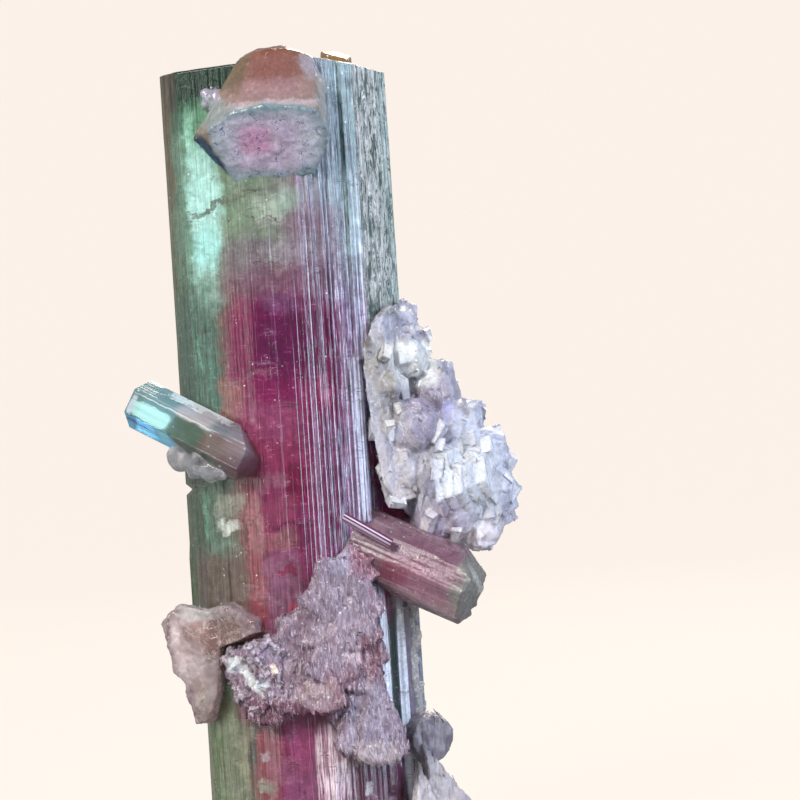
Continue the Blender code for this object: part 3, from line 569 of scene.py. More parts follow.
ribReflections = (  # painted reflections: bright flats of single ribs on the right front, where they mirror the lamps: x, z, half width, half height, amount
    (9.0, 68.0, 0.10, 14.0, 0.8), (8.5, 70.0, 0.07, 15.0, 0.6), (8.0, 62.0, 0.05, 14.0, 0.6),
    (7.55, 51.0, 0.22, 9.4, 0.9), (7.95, 51.0, 0.10, 9.2, 0.85), (7.0, 50.6, 0.09, 9.6, 0.8),
    (8.35, 50.0, 0.10, 8.8, 0.8), (6.4, 52.0, 0.05, 12.0, 0.7), (5.5, 58.0, 0.05, 20.0, 0.7),
    (4.9, 47.0, 0.04, 11.0, 0.85), (4.2, 53.0, 0.05, 17.0, 0.9), (3.6, 48.0, 0.035, 12.0, 0.85),
    (3.0, 55.5, 0.04, 20.0, 0.85), (2.45, 50.0, 0.03, 13.0, 0.8), (1.9, 46.0, 0.04, 12.0, 0.9),
    (1.4, 52.0, 0.03, 17.0, 0.75), (0.8, 49.0, 0.03, 13.0, 0.7), (5.2, 40.0, 0.14, 4.0, 0.7),
    (8.9, 24.0, 0.46, 9.0, 1.0), (10.8, 21.0, 0.48, 11.5, 0.95),
)
zoning = {  # colour across the prism from its left edge (x) to its right: the core and its rind
    "low": ((-13.0, "4a5440"), (-11.2, "3f5644"), (-8.6, "4c5c4e"), (-6.6, "62463f"),
            (-5.4, "7c3040"), (-3.2, "702648"), (0.0, "6c1c46"), (3.6, "6a2650"), (6.2, "70486c"),
            (8.4, "7c7898"), (9.4, "6e305a"), (12.6, "7c8494")),
    "high": ((-13.0, "585844"), (-11.6, "5c7866"), (-9.0, "64907c"), (-6.4, "667c64"),
             (-2.0, "6c7a68"), (0.6, "767270"), (2.6, "7a6474"), (5.0, "808894"),
             (7.4, "7f969e"), (9.2, "7c969a"), (10.2, "9ca6a4"), (12.6, "8c9c98")),
    "change": (66.0, 74.0),  # between these heights the green closes over the core
    "halfWidth": 13.0,
}


prismLook = {
    "ribs": 5.2, "streaks": 4.6, "bands": 0.85, "clouds": 0.33,  # 0.15, 0.2, 1.2 and 3 mm wide
    "slow": 0.035,  # how slowly the first three change along the prism
    "etchedGrain": 0.35,  # and how slowly over the end face, which has no ribs
    "bark": ("566a64", "c6cac6"), "barkEdge": "94b0aa", "barkThreads": "2c3835",
    # painted light on the ribs: the dark groove colour is painted shade, the pearl and line colours are
    # painted reflections, the silver is a painted sheen
    "grooveShade": "24121e", "flatReflection": ("b8bcd6", "a4b8c2"), "silver": "e2d2dc",
    "wideReflection": "e6eefa", "thinReflection": "c2cade",
    "fractures": "3c2e30", "paintedGleams": "d6c6d2", "veils": "bcaeb8", "specks": "f2f2fa",
    "ior": 1.64, "clear": 0.14, "mirror": 0.34,  # a worn skin mirrors less than a polished one
    "gloss": (0.05, 0.14), "barkRough": 0.3, "relief": 0.4,
}


def stretchedNoise(tree, place, stretch, scale, detail, rough, distortion=0.0):
    laid = addNode(tree, "ShaderNodeVectorMath", (place, stretch), operation="MULTIPLY")
    return addNode(tree, "ShaderNodeTexNoise", {
        "Vector": laid, "Scale": scale, "Detail": detail, "Roughness": rough,
        "Distortion": distortion})


def fineLines(tree, value, half):
    # a thin line wherever a noise passes through its middle value
    away = addNode(tree, "ShaderNodeMath", (value, 0.5), operation="SUBTRACT")
    away = addNode(tree, "ShaderNodeMath", (away,), operation="ABSOLUTE")
    return addNode(tree, "ShaderNodeMapRange", (away, half, half * 0.3))


def overlap(tree, *masks):
    # where all of these masks lie over each other
    whole = masks[0]
    for mask in masks[1:]:
        whole = addNode(tree, "ShaderNodeMath", (whole, mask), operation="MULTIPLY")
    return whole


def sparkles(tree, place, size, spacing, share):
    # tiny specks: a few of the cells of a mesh carry a dot in their middle
    cell = addNode(tree, "ShaderNodeTexVoronoi", {"Vector": place, "Scale": 1.0 / spacing})
    dot = addNode(tree, "ShaderNodeMapRange", (
        cell.outputs["Distance"], size / spacing, size / spacing * 0.5))
    chosen = addNode(tree, "ShaderNodeSeparateXYZ", (cell.outputs["Color"],))
    chosen = addNode(tree, "ShaderNodeMapRange", (chosen, 1.0 - share, 1.0 - share + 0.02))
    return overlap(tree, dot, chosen)


def layColors(tree, under, layers):
    # colours laid over each other, each of them where its mask says
    for mask, over in layers:
        under = addNode(tree, "ShaderNodeMix", {
            0: mask, 6: under, 7: linear(over) if isinstance(over, str) else over}, data_type="RGBA")
    return under


def shadeColor(tree, color, *shades):
    # makes a colour lighter and darker, by one pattern after another
    for shade in shades:
        color = addNode(tree, "ShaderNodeVectorMath", {0: color, 3: shade}, operation="SCALE")
    return color


def wander(tree, value, wave, reach):
    # a value that a noise moves by up to half its reach either way
    centred = addNode(tree, "ShaderNodeMath", (value, -reach / 2), operation="ADD")
    return addNode(tree, "ShaderNodeMath", (wave, reach, centred), operation="MULTIPLY_ADD")


def zoneRamp(tree, share, stops):
    ramp = addNode(tree, "ShaderNodeValToRGB", (share,))
    elements = ramp.color_ramp.elements
    while len(elements) < len(stops):
        elements.new(0.5)
    for element, (x, color) in zip(elements, stops):
        element.position = (x / zoning["halfWidth"] + 1.0) / 2
        element.color = linear(color)
    return ramp


def prismMaterial():
    # zoned elbaite with striated growth faces: wet gloss in upright streaks, colour deep inside
    material, tree, shader = newMaterial("zoned tourmaline, striated faces")
    look = prismLook
    coordinates = addNode(tree, "ShaderNodeTexCoord")
    place = addNode(tree, "ShaderNodeVectorMath", {0: coordinates.outputs["Object"], 3: 1 / mm},
                    operation="SCALE")
    spot = addNode(tree, "ShaderNodeSeparateXYZ", (place,))
    across, depth, height = spot.outputs
    around = addNode(tree, "ShaderNodeAttribute", attribute_name="around").outputs["Fac"]
    slowly = addNode(tree, "ShaderNodeMath", (height, look["slow"]), operation="MULTIPLY")
    ribbed = addNode(tree, "ShaderNodeCombineXYZ", (around, slowly))
    # the end face has no ribs: there the same noises run evenly, as an etched grain
    facing = addNode(tree, "ShaderNodeSeparateXYZ", (coordinates.outputs["Normal"],)).outputs["Z"]
    grainy = addNode(tree, "ShaderNodeVectorMath", {0: place, 3: look["etchedGrain"]},
                     operation="SCALE")
    upright = addNode(tree, "ShaderNodeMix", {
        0: addNode(tree, "ShaderNodeMapRange", (facing, 0.6, 0.85)), 4: ribbed, 5: grainy},
        data_type="VECTOR")
    ribs = addNode(tree, "ShaderNodeTexNoise", {
        "Vector": upright, "Scale": look["ribs"], "Detail": 3.0, "Roughness": 0.75})
    streak = addNode(tree, "ShaderNodeTexNoise", {
        "Vector": upright, "Scale": look["streaks"], "Detail": 4.0, "Roughness": 0.65})
    broad = addNode(tree, "ShaderNodeTexNoise", {
        "Vector": upright, "Scale": look["bands"], "Detail": 3.0})
    cloud = addNode(tree, "ShaderNodeTexNoise", {
        "Vector": place, "Scale": look["clouds"], "Detail": 4.0, "Roughness": 0.68})
    wisps = stretchedNoise(tree, place, (1.0, 1.0, 1.0), 0.9, 4.0, 0.7, 0.5)
    # painted zones keep ragged edges: they drift with the clouds and a little along the ribs
    shift = addNode(tree, "ShaderNodeVectorMath", (
        cloud.outputs["Color"], (3.0, 0.0, 4.4), (-1.5, 0.0, -2.2)), operation="MULTIPLY_ADD")
    along = addNode(tree, "ShaderNodeCombineXYZ", {
        0: addNode(tree, "ShaderNodeMath", (wisps, 0.7, -0.35), operation="MULTIPLY_ADD"),
        2: addNode(tree, "ShaderNodeMath", (streak, 0.6, -0.3), operation="MULTIPLY_ADD")})
    ragged = addNode(tree, "ShaderNodeVectorMath", (place, shift), operation="ADD")
    ragged = addNode(tree, "ShaderNodeVectorMath", (ragged, along), operation="ADD")
    half = zoning["halfWidth"]
    drift = wander(tree, wander(tree, across, cloud, 2.6), broad, 1.4)
    share = addNode(tree, "ShaderNodeMapRange", (drift, -half, half))
    rise = wander(tree, wander(tree, height, wisps, 9.0), streak, 5.0)
    closed = addNode(tree, "ShaderNodeMapRange", (rise, *zoning["change"]))
    zoned = layColors(tree, zoneRamp(tree, share, zoning["low"]), (
        (closed, zoneRamp(tree, share, zoning["high"])),))
    front = paint(tree, zoned, ragged, prismPatches)
    back = paint(tree, zoned, ragged, backPatches)
    # the right side face: whitish, with dark upright threads and a teal edge
    flakes = stretchedNoise(tree, place, (1.0, 1.0, 0.30), 1.0, 4.0, 0.72, 0.7)
    threads = stretchedNoise(tree, place, (1.3, 1.3, 0.26), 0.8, 3.0, 0.6, 1.4)
    bark = layColors(tree, linear(look["bark"][0]), (
        (addNode(tree, "ShaderNodeMapRange", (flakes, 0.43, 0.49)), look["bark"][1]),
        (addNode(tree, "ShaderNodeMapRange", (across, 11.2, 12.6, 0.0, 0.5)), look["barkEdge"]),
        (overlap(tree, fineLines(tree, threads, 0.034), 0.9), look["barkThreads"])))
    rightFace = addNode(tree, "ShaderNodeMath", (cloud, 0.8, across), operation="MULTIPLY_ADD")
    rightFace = addNode(tree, "ShaderNodeMapRange", (rightFace, 9.5, 9.9))
    etchedFace = overlap(tree, rightFace, addNode(tree, "ShaderNodeMapRange", (rise, 54.0, 64.0)))
    # painted reflections: pearly flats of the ribs, thickest towards the right, broken along their
    # length
    broken = stretchedNoise(tree, place, (1.0, 1.0, 0.16), 0.9, 3.0, 0.7)
    zone = overlap(tree, addNode(tree, "ShaderNodeMapRange", (across, 0.2, 6.0)),
                   addNode(tree, "ShaderNodeMapRange", (across, 9.9, 9.3)),
                   addNode(tree, "ShaderNodeMapRange", (rise, 30.0, 37.0)))
    reflectingFlats = overlap(tree, addNode(tree, "ShaderNodeMapRange", (ribs, 0.575, 0.605)), zone,
                    addNode(tree, "ShaderNodeMapRange", (broken, 0.36, 0.56, 0.15, 0.95)))
    flatReflection = layColors(tree, linear(look["flatReflection"][0]), (
        (addNode(tree, "ShaderNodeMapRange", (rise, 62.0, 84.0)), look["flatReflection"][1]),))
    # painted shade: thin dark lines between the ribs, where their shadows fall
    deeper = addNode(tree, "ShaderNodeMath", (zone, 0.5, 0.2), operation="MULTIPLY_ADD")
    grooveShade = overlap(tree, addNode(tree, "ShaderNodeMapRange", (ribs, 0.455, 0.40)), deeper)
    # painted sheen: silvery ribs low on the front, between the mica and the foot
    silver = stretchedNoise(tree, place, (5.0, 5.0, 0.22), 1.0, 3.0, 0.7)
    silverSheen = overlap(tree, addNode(tree, "ShaderNodeMapRange", (height, 20.0, 17.5)),
                       addNode(tree, "ShaderNodeMapRange", (across, 0.2, 0.8)),
                       addNode(tree, "ShaderNodeMapRange", (across, 5.0, 3.8)),
                       addNode(tree, "ShaderNodeMapRange", (silver, 0.46, 0.54)))
    front = layColors(tree, front, (
        (etchedFace, bark), (grooveShade, look["grooveShade"]), (reflectingFlats, flatReflection), (silverSheen, look["silver"])))
    # painted reflections: the listed bright rib flats, one by one
    front = paint(tree, front, place, [
        ("painted rib reflection", x, z, wide, high, 0, 0.35, amount,
         look["wideReflection"] if wide > 0.4 else look["thinReflection"])
        for x, z, wide, high, amount in ribReflections])
    whole = layColors(tree, back, ((addNode(tree, "ShaderNodeMapRange", (depth, 1.5, -1.5)), front),))
    # fine streaks over everything, then cross fractures, painted gleams where inner cracks catch the
    # light, veils and specks inside
    whole = shadeColor(tree, whole, addNode(tree, "ShaderNodeMapRange", (streak, 0.3, 0.7, 0.72, 1.28)),
                       addNode(tree, "ShaderNodeMapRange", (wisps, 0.32, 0.68, 0.70, 1.30)))
    crack = stretchedNoise(tree, place, (0.22, 0.22, 0.75), 0.8, 3.0, 0.6, 0.8)
    curl = stretchedNoise(tree, place, (0.20, 0.20, 1.05), 0.8, 4.0, 0.66, 0.4)
    veil = stretchedNoise(tree, place, (0.5, 0.5, 1.2), 0.5, 5.0, 0.72, 0.6)
    fractures = overlap(tree, fineLines(tree, crack, 0.014),
                        addNode(tree, "ShaderNodeMapRange", (cloud, 0.48, 0.60)), 0.6)
    paintedGleams = overlap(tree, fineLines(tree, curl, 0.010),
                     addNode(tree, "ShaderNodeMapRange", (wisps, 0.5, 0.62)),
                     addNode(tree, "ShaderNodeMapRange", (height, 82.0, 76.0)), 0.24)
    specks = overlap(tree, sparkles(tree, place, 0.13, 0.55, 0.10),
                     addNode(tree, "ShaderNodeMapRange", (veil, 0.50, 0.62)), 0.9)
    whole = layColors(tree, whole, (
        (fractures, look["fractures"]), (paintedGleams, look["paintedGleams"]),
        (addNode(tree, "ShaderNodeMapRange", (veil, 0.62, 0.80, 0.0, 0.4)), look["veils"]),
        (specks, look["specks"])))
    gloss = addNode(tree, "ShaderNodeMapRange", (broad, 0.3, 0.7, *look["gloss"]))
    gloss = addNode(tree, "ShaderNodeMath", (etchedFace, look["barkRough"], gloss),
                    operation="MULTIPLY_ADD")
    onBark = addNode(tree, "ShaderNodeMapRange", (across, 9.5, 9.9))
    ribHeight = addNode(tree, "ShaderNodeMath", (ribs, 0.8, streak), operation="MULTIPLY_ADD")
    relief = addNode(tree, "ShaderNodeMix", {0: onBark, 2: ribHeight, 3: flakes}, data_type="FLOAT")
    bump = addNode(tree, "ShaderNodeBump", {"Height": relief, "Strength": look["relief"],
                                            "Distance": 0.15 * mm})
    setInputs(tree, shader, {
        "Base Color": whole, "Roughness": gloss, "Normal": bump, "IOR": look["ior"],
        "Specular IOR Level": look["mirror"], "Transmission Weight": look["clear"]})
    return material


prismFinish = prismMaterial()
prism["levels"] = prismLevels()
mainPrism = column("main_prism", prism, prismFinish, shapePrism)
putOn(mainPrism, prismFinish, ["tourmaline"])


def slab(outline, thickness, placement=Matrix()):
    # a flat outline drawn out along its own +Z and then placed
    bm = bmesh.new()
    face = bm.faces.new([bm.verts.new((x, y, 0.0)) for x, y in outline])
    drawn = bmesh.ops.extrude_face_region(bm, geom=[face])["geom"]
    for vert in (part for part in drawn if isinstance(part, bmesh.types.BMVert)):
        vert.co.z = thickness
    bmesh.ops.recalc_face_normals(bm, faces=bm.faces)
    bm.transform(placement)
    return bm


def cutAway(bm, point, normal):
    cut = bmesh.ops.bisect_plane(bm, geom=bm.verts[:] + bm.edges[:] + bm.faces[:], dist=0.0001,
                                 plane_co=point, plane_no=normal, clear_outer=True)
    rim = [part for part in cut["geom_cut"] if isinstance(part, bmesh.types.BMEdge)]
    bmesh.ops.contextual_create(bm, geom=rim)


def lump(centre, radius, uneven, finer=2):
    bm = bmesh.new()
    bmesh.ops.create_icosphere(bm, subdivisions=finer, radius=radius)
    shift = Vector((uneven.uniform(0, 50), uneven.uniform(0, 50), uneven.uniform(0, 50)))
    for vert in bm.verts:  # swellings of a seventh of its radius, 1.4 mm across
        vert.co *= 1.0 + 0.14 * noise.noise(vert.co * 0.7 + shift)
    bm.transform(Matrix.Translation(centre))
    return bm


def book(centre, out, up, radius, thickness, sides=6):
    # mica: a plate that narrows a little outwards
    bm = bmesh.new()
    bmesh.ops.create_cone(bm, cap_ends=True, segments=sides, radius1=radius,
                          radius2=radius * 0.88, depth=thickness)
    bm.transform(Matrix.Translation(centre) @ axesFrom(out, up))
    return bm


def frontSpot(x):
    # y of the prism's five front faces at x, and which way the face looks
    for start, end in zip(prism["section"], prism["section"][1:6]):
        if start[0] <= x <= end[0]:
            along = Vector(end) - Vector(start)
            return (start[1] + along.y * (x - start[0]) / along.x,
                    Vector((along.y, -along.x, 0.0)).normalized())
    return 0.0, Vector((0.0, -1.0, 0.0))


crustFit = {"deep": 20.0, "tall": 99.0, "clear": 0.95}  # past the axis, past the top, over the ribs


def crust(outline, thickness):
    # an even crust that follows the prism inside an outline seen from the front
    through = newObject("through", slab(outline, crustFit["deep"],
                                        Matrix.Rotation(math.radians(90), 4, "X")))
    grown = [Vector(c) + Vector(c).normalized() * (crustFit["clear"] + thickness)
             for c in prism["section"]]
    around = newObject("around", slab([tuple(c) for c in grown], crustFit["tall"]))
    meet = through.modifiers.new("meet", "BOOLEAN")
    meet.operation, meet.object, meet.solver = "INTERSECT", around, "EXACT"
    plainMesh(through)
    bm = bmesh.new()
    bm.from_mesh(through.data)
    bpy.data.objects.remove(through)
    bpy.data.objects.remove(around)
    return bm


def fuse(name, bodies, voxel):
    # grows bodies into one skin
    whole = bmesh.new()
    for body in bodies:
        carried = bpy.data.meshes.new("carried")
        bmesh.ops.recalc_face_normals(body, faces=body.faces)
        body.to_mesh(carried)
        body.free()
        whole.from_mesh(carried)
        bpy.data.meshes.remove(carried)
    obj = newObject(name, whole)
    skin = obj.modifiers.new("skin", "REMESH")
    skin.mode, skin.voxel_size, skin.adaptivity = "VOXEL", voxel, 0.0
    return plainMesh(obj)


def roughen(obj, layers):
    # moves points along their normals: layers of (stretch, height, kind)
    mesh = obj.data
    normals = [vert.normal.copy() for vert in mesh.vertices]
    for vert, normal in zip(mesh.vertices, normals):
        shift = 0.0
        for stretch, height, kind in layers:
            spot = Vector([a * b for a, b in zip(vert.co, stretch)])
            if kind == "cobbles":
                shift += height * (0.55 - noise.voronoi(spot)[0][0])
            elif kind == "ridges":
                shift += height * (0.5 - abs(noise.noise(spot)) * 2)
            else:
                shift += height * noise.noise(spot)
        vert.co += normal * shift
    mesh.update()
    return obj


def makeScatterTree():
    tree, given = openTree("scatter", (
        ("Density", "Float"), ("Smallest", "Float"), ("Largest", "Float"), ("Flat", "Float"),
        ("Lean", "Float"), ("Roll", "Float"), ("Spin", "Float"), ("Upright", "Float"),
        ("Seed", "Int"), ("Grain", "Object"), ("Material", "Material")))
    given = given.outputs
    spread = addNode(tree, "GeometryNodeDistributePointsOnFaces", {
        "Mesh": given["Geometry"], "Density": given["Density"], "Seed": given["Seed"]})
    grain = addNode(tree, "GeometryNodeObjectInfo", {"Object": given["Grain"]})
    # a grain's own Y is its long way, its Z stands off the surface
    standing = addNode(tree, "FunctionNodeAlignRotationToVector", (
        spread.outputs["Rotation"], given["Upright"], (0.0, 0.0, 1.0)), axis="Y", pivot_axis="Z")
    swing = addNode(tree, "ShaderNodeCombineXYZ", (given["Lean"], given["Roll"], given["Spin"]))
    against = addNode(tree, "ShaderNodeVectorMath", {0: swing, 3: -1.0}, operation="SCALE")
    lean = addNode(tree, "FunctionNodeRandomValue", {0: against, 1: swing, "Seed": given["Seed"]},
                   data_type="FLOAT_VECTOR")
    turned = addNode(tree, "FunctionNodeRotateRotation", (
        standing, addNode(tree, "FunctionNodeEulerToRotation", (lean,))), rotation_space="LOCAL")
    size = addNode(tree, "FunctionNodeRandomValue", {
        2: given["Smallest"], 3: given["Largest"], "Seed": given["Seed"]}, data_type="FLOAT")
    thin = addNode(tree, "ShaderNodeMath", (size, given["Flat"]), operation="MULTIPLY")
    scale = addNode(tree, "ShaderNodeCombineXYZ", (size, size, thin))
    placed = addNode(tree, "GeometryNodeInstanceOnPoints", {
        "Points": spread, "Instance": grain.outputs["Geometry"], "Rotation": turned, "Scale": scale})
    own = addNode(tree, "FunctionNodeRandomValue", {2: 0.0, 3: 1.0, "Seed": 5}, data_type="FLOAT")
    marked = addNode(tree, "GeometryNodeStoreNamedAttribute", {
        "Geometry": placed, "Name": "shade", "Value": own}, data_type="FLOAT", domain="INSTANCE")
    both = tree.nodes.new("GeometryNodeJoinGeometry")
    tree.links.new(marked.outputs[0], both.inputs[0])
    tree.links.new(given["Geometry"], both.inputs[0])
    closeTree(tree, both, given["Material"])
    return tree


scatterTree = makeScatterTree()


def scatter(obj, material, layers):
    # each layer: grain, how many to a square millimetre, sizes and how they lean
    shade = obj.data.attributes.new("shade", "FLOAT", "POINT")
    shade.data.foreach_set("value", [0.5] * len(obj.data.vertices))
    for i, layer in enumerate(layers):
        runTree(obj, scatterTree, {
            "Density": layer["density"], "Smallest": layer["size"][0], "Largest": layer["size"][1],
            "Flat": layer.get("flat", 1.0), "Lean": layer.get("lean", 0.5),
            "Roll": layer.get("roll", layer.get("lean", 0.5)), "Spin": layer.get("spin", math.pi),
            "Upright": layer.get("upright", 0.0), "Seed": layer.get("seed", i),
            "Grain": grains[layer["grain"]], "Material": material})
    return obj


def makeGrain(name):
    # one repeated crystal of a few dozen faces at most, about 1 mm long
    uneven = random.Random(name)
    if name == "flake":  # a thin plate, longer than wide, with a pointed end
        bm = slab(((0.03, -0.5), (0.13, 0.15), (-0.03, 0.5), (-0.12, -0.1)), 0.05)
    elif name == "block":  # a clear block, its faces framed so that their edges can carry a painted highlight
        bm = bmesh.new()
        bmesh.ops.create_cube(bm, size=1.0)
        for vert in bm.verts:
            vert.co = Vector([c * s * uneven.uniform(0.66, 1.2)
                              for c, s in zip(vert.co, (0.55, 1.0, 0.5))])
        bmesh.ops.inset_individual(bm, faces=bm.faces[:], thickness=0.075, use_even_offset=True)
    else:  # a splinter: a broken, glassy piece
        bm = bmesh.new()
        for _ in range(13):
            spot = Vector([uneven.gauss(0, 1) for _ in range(3)]).normalized()
            bm.verts.new((spot.x * 0.36, spot.y * 0.5, spot.z * 0.3))
        bmesh.ops.convex_hull(bm, input=bm.verts[:])
        bmesh.ops.recalc_face_normals(bm, faces=bm.faces)
    rimHighlights = [float(len(vert.link_faces) == 3) if name == "block" else 0.0 for vert in bm.verts]
    grain = newObject(name, bm)
    grain.data.attributes.new("rim", "FLOAT", "POINT").data.foreach_set("value", rimHighlights)
    return grain


grains = {name: makeGrain(name) for name in ("flake", "splinter", "block")}


topCrystal = {  # the crystal that crosses the top
    "axis": (0.06, 0.82, 0.57), "centre": (-0.6, -13.4, 84.9),
    "face": ((-6.6, 86.8), (-4.2, 88.1), (-0.8, 88.6), (2.5, 88.4), (5.2, 87.8), (6.2, 86.1),
             (6.2, 84.2), (4.6, 81.2), (-2.8, 81.4), (-4.6, 80.8)),
    "leftTip": (-9.0, -11.4, 85.9), "depth": (0.0, -6.0, 83.0), "crownY": -6.0,
    "crown": ((-2.9, 95.8), (-1.2, 96.4), (1.6, 96.6), (3.8, 95.1), (5.0, 91.2), (-4.6, 91.4)),
    "brow": ((-3.4, 94.4), (-1.4, 95.4), (2.2, 95.6), (5.2, 94.4), (6.4, 91.6), (-5.0, 91.6)),
    "browY": -11.3,
    "knob": ((-6.6, -10.3, 90.6, 0.85), (-7.2, -10.2, 91.1, 0.6), (-5.9, -10.5, 90.9, 0.7),
             (-7.3, -10.0, 90.0, 0.55), (-6.2, -10.6, 89.9, 0.6)),
    "voxel": 0.2, "seed": 4,
    "relief": (((0.5, 0.5, 0.5), 0.22, "swell"), ((1.6, 1.6, 1.6), 0.07, "swell")),
}
chip = {"foot": (7.4, -3.2, 88.0), "top": (7.6, -3.2, 96.0), "radius": 1.9, "sides": 5,
        "worn": 0.4, "slope": (0.25, -0.3, 1.0), "voxel": 0.2,
        "relief": (((0.8, 0.8, 0.8), 0.15, "swell"),)}


def topBody():
    axis = Vector(topCrystal["axis"]).normalized()
    centre = Vector(topCrystal["centre"])
    bm = bmesh.new()
    points = []
    for x, z in topCrystal["face"]:
        y = centre.y - (z - centre.z) * axis.z / axis.y - (x - centre.x) * axis.x / axis.y
        points.append(bm.verts.new((x, y, z)))
    for row, y in (("crown", topCrystal["crownY"]), ("brow", topCrystal["browY"])):
        points += [bm.verts.new((x, y, z)) for x, z in topCrystal[row]]
    points += [bm.verts.new(topCrystal["depth"]), bm.verts.new(topCrystal["leftTip"])]
    bmesh.ops.convex_hull(bm, input=points)
    loose = [vert for vert in bm.verts if not vert.link_faces]
    bmesh.ops.delete(bm, geom=loose, context="VERTS")
    return bm


topPatches = (  # the body behind the end face
    ("orange crown", 0.2, 96.2, 3.8, 1.5, 0, 0.8, 0.9, "7c4226"),
    ("red brown body", 0.6, 93.2, 3.8, 2.0, 0, 1.0, 0.85, "7c4640"),
    ("salmon foot", 0.0, 90.6, 4.6, 1.3, 0, 1.0, 0.75, "9a747a"),
    ("clear knob", -6.8, 90.6, 1.3, 1.2, 0, 0.6, 0.9, "a49cb4"),
    ("olive flank", -3.6, 93.4, 1.2, 2.6, -20, 0.9, 0.8, "6c5a44"),
    ("pale rim", 0.0, 88.9, 6.4, 0.45, 0, 0.9, 0.8, "b4a6ac"),
    ("white left flank", -6.2, 88.4, 2.4, 1.7, -34, 0.9, 0.85, "929c9e"),
    ("white right flank", 6.4, 88.8, 0.9, 5.4, 0, 1.0, 0.8, "9ca4a4"),
    ("lilac haze", 5.4, 93.6, 1.5, 1.6, 20, 1.0, 0.8, "9a98a6"),
    ("navy bevel", -7.3, 83.2, 1.5, 3.7, 40, 0.4, 0.97, "123650"),
    ("blue streak on the bevel", -7.1, 83.6, 0.3, 2.2, 40, 0.8, 0.7, "3c6c90"),
    ("amber chip", 7.6, 96.0, 2.2, 1.8, 0, 0.5, 0.95, "86602e"),
)
facePatches = (
    ("lilac middle", -0.4, 84.9, 5.6, 3.0, 0, 0.6, 0.9, "c2bed0"),
    ("pale left", -5.2, 85.6, 1.8, 1.4, 0, 0.9, 0.6, "b4b8c6"),
    ("rose glow", -0.6, 84.6, 3.4, 2.5, 0, 1.0, 0.7, "bca2bc"),
    ("pink heart", -1.8, 85.2, 1.7, 1.4, 0, 1.0, 0.7, "c284aa"),
    ("white chip right", 4.6, 85.2, 0.9, 0.8, 0, 0.9, 0.6, "c8ced6"),
    ("grey foot", -2.6, 81.4, 3.0, 0.6, 0, 0.8, 0.6, "8f9ea4"),
)


topLook = {
    "body": "8c7e72", "endFace": "708a90", "flecks": "26386c", "frost": "dcd6dc",
    "ior": 1.64, "clear": 0.25, "gloss": (0.10, 0.26), "relief": 0.35,
}


def topMaterial():
    # clear pink elbaite in a thin teal rind, its broken body stained orange brown
    material, tree, shader = newMaterial("pink tourmaline, worn end face")
    look = topLook
    place = addNode(tree, "ShaderNodeVectorMath", {
        0: addNode(tree, "ShaderNodeTexCoord").outputs["Object"], 3: 1 / mm}, operation="SCALE")
    cloud = addNode(tree, "ShaderNodeTexNoise", {
        "Vector": place, "Scale": 0.9, "Detail": 5.0, "Roughness": 0.65})
    sway = addNode(tree, "ShaderNodeVectorMath", (
        cloud.outputs["Color"], (1.4, 1.4, 1.4), (-0.7, -0.7, -0.7)), operation="MULTIPLY_ADD")
    ragged = addNode(tree, "ShaderNodeVectorMath", (place, sway), operation="ADD")
    body = paint(tree, linear(look["body"]), ragged, topPatches)
    face = paint(tree, linear(look["endFace"]), ragged, facePatches)
    # flecks: short navy threads in the end face, 0.2 mm wide
    thread = addNode(tree, "ShaderNodeTexNoise", {
        "Vector": place, "Scale": 1.0, "Detail": 3.0, "Distortion": 1.6})
    here = addNode(tree, "ShaderNodeTexNoise", {"Vector": place, "Scale": 0.8, "Detail": 2.0})
    away = addNode(tree, "ShaderNodeMath", (thread, 0.5), operation="SUBTRACT")
    away = addNode(tree, "ShaderNodeMath", (away,), operation="ABSOLUTE")
    fleck = overlap(tree, addNode(tree, "ShaderNodeMapRange", (away, 0.022, 0.008)),
                    addNode(tree, "ShaderNodeMapRange", (here, 0.50, 0.58, 0.0, 0.85)))
    face = layColors(tree, face, ((fleck, look["flecks"]),))
    # the end face is what lies in its plane
    axis = Vector(topCrystal["axis"]).normalized()
    level = Vector(topCrystal["centre"]).dot(axis)
    depth = addNode(tree, "ShaderNodeVectorMath", (place, axis), operation="DOT_PRODUCT")
    onFace = addNode(tree, "ShaderNodeMapRange", (depth, level + 0.5, level + 0.2))
    fine = stretchedNoise(tree, place, (1.0, 1.0, 0.5), 2.6, 5.0, 0.75, 0.6)
    whole = layColors(tree, body, ((onFace, face),))
    whole = shadeColor(tree, whole, addNode(tree, "ShaderNodeMapRange", (cloud, 0.3, 0.7, 0.82, 1.2)),
                       addNode(tree, "ShaderNodeMapRange", (fine, 0.3, 0.7, 0.76, 1.24)))
    whole = layColors(tree, whole, (
        (addNode(tree, "ShaderNodeMapRange", (fine, 0.62, 0.74, 0.0, 0.6)), look["frost"]),))
    gloss = addNode(tree, "ShaderNodeMapRange", (onFace, 0.0, 1.0, *look["gloss"]))
    pits = addNode(tree, "ShaderNodeTexNoise", {"Vector": place, "Scale": 2.6, "Detail": 4.0})
    bump = addNode(tree, "ShaderNodeBump", {"Height": pits, "Strength": look["relief"],
                                            "Distance": 0.2 * mm})
    setInputs(tree, shader, {
        "Base Color": whole, "Roughness": gloss, "Normal": bump, "IOR": look["ior"],
        "Transmission Weight": look["clear"]})
    return material


def shaft(sides, radius, root, end, up):
    # a small column between two points
    root, end = Vector(root), Vector(end)
    bm = bmesh.new()
    bmesh.ops.create_cone(bm, cap_ends=True, segments=sides, radius1=radius, radius2=radius,
                          depth=(end - root).length)
    bm.transform(Matrix.Translation((root + end) / 2) @ axesFrom(end - root, up))
    return bm


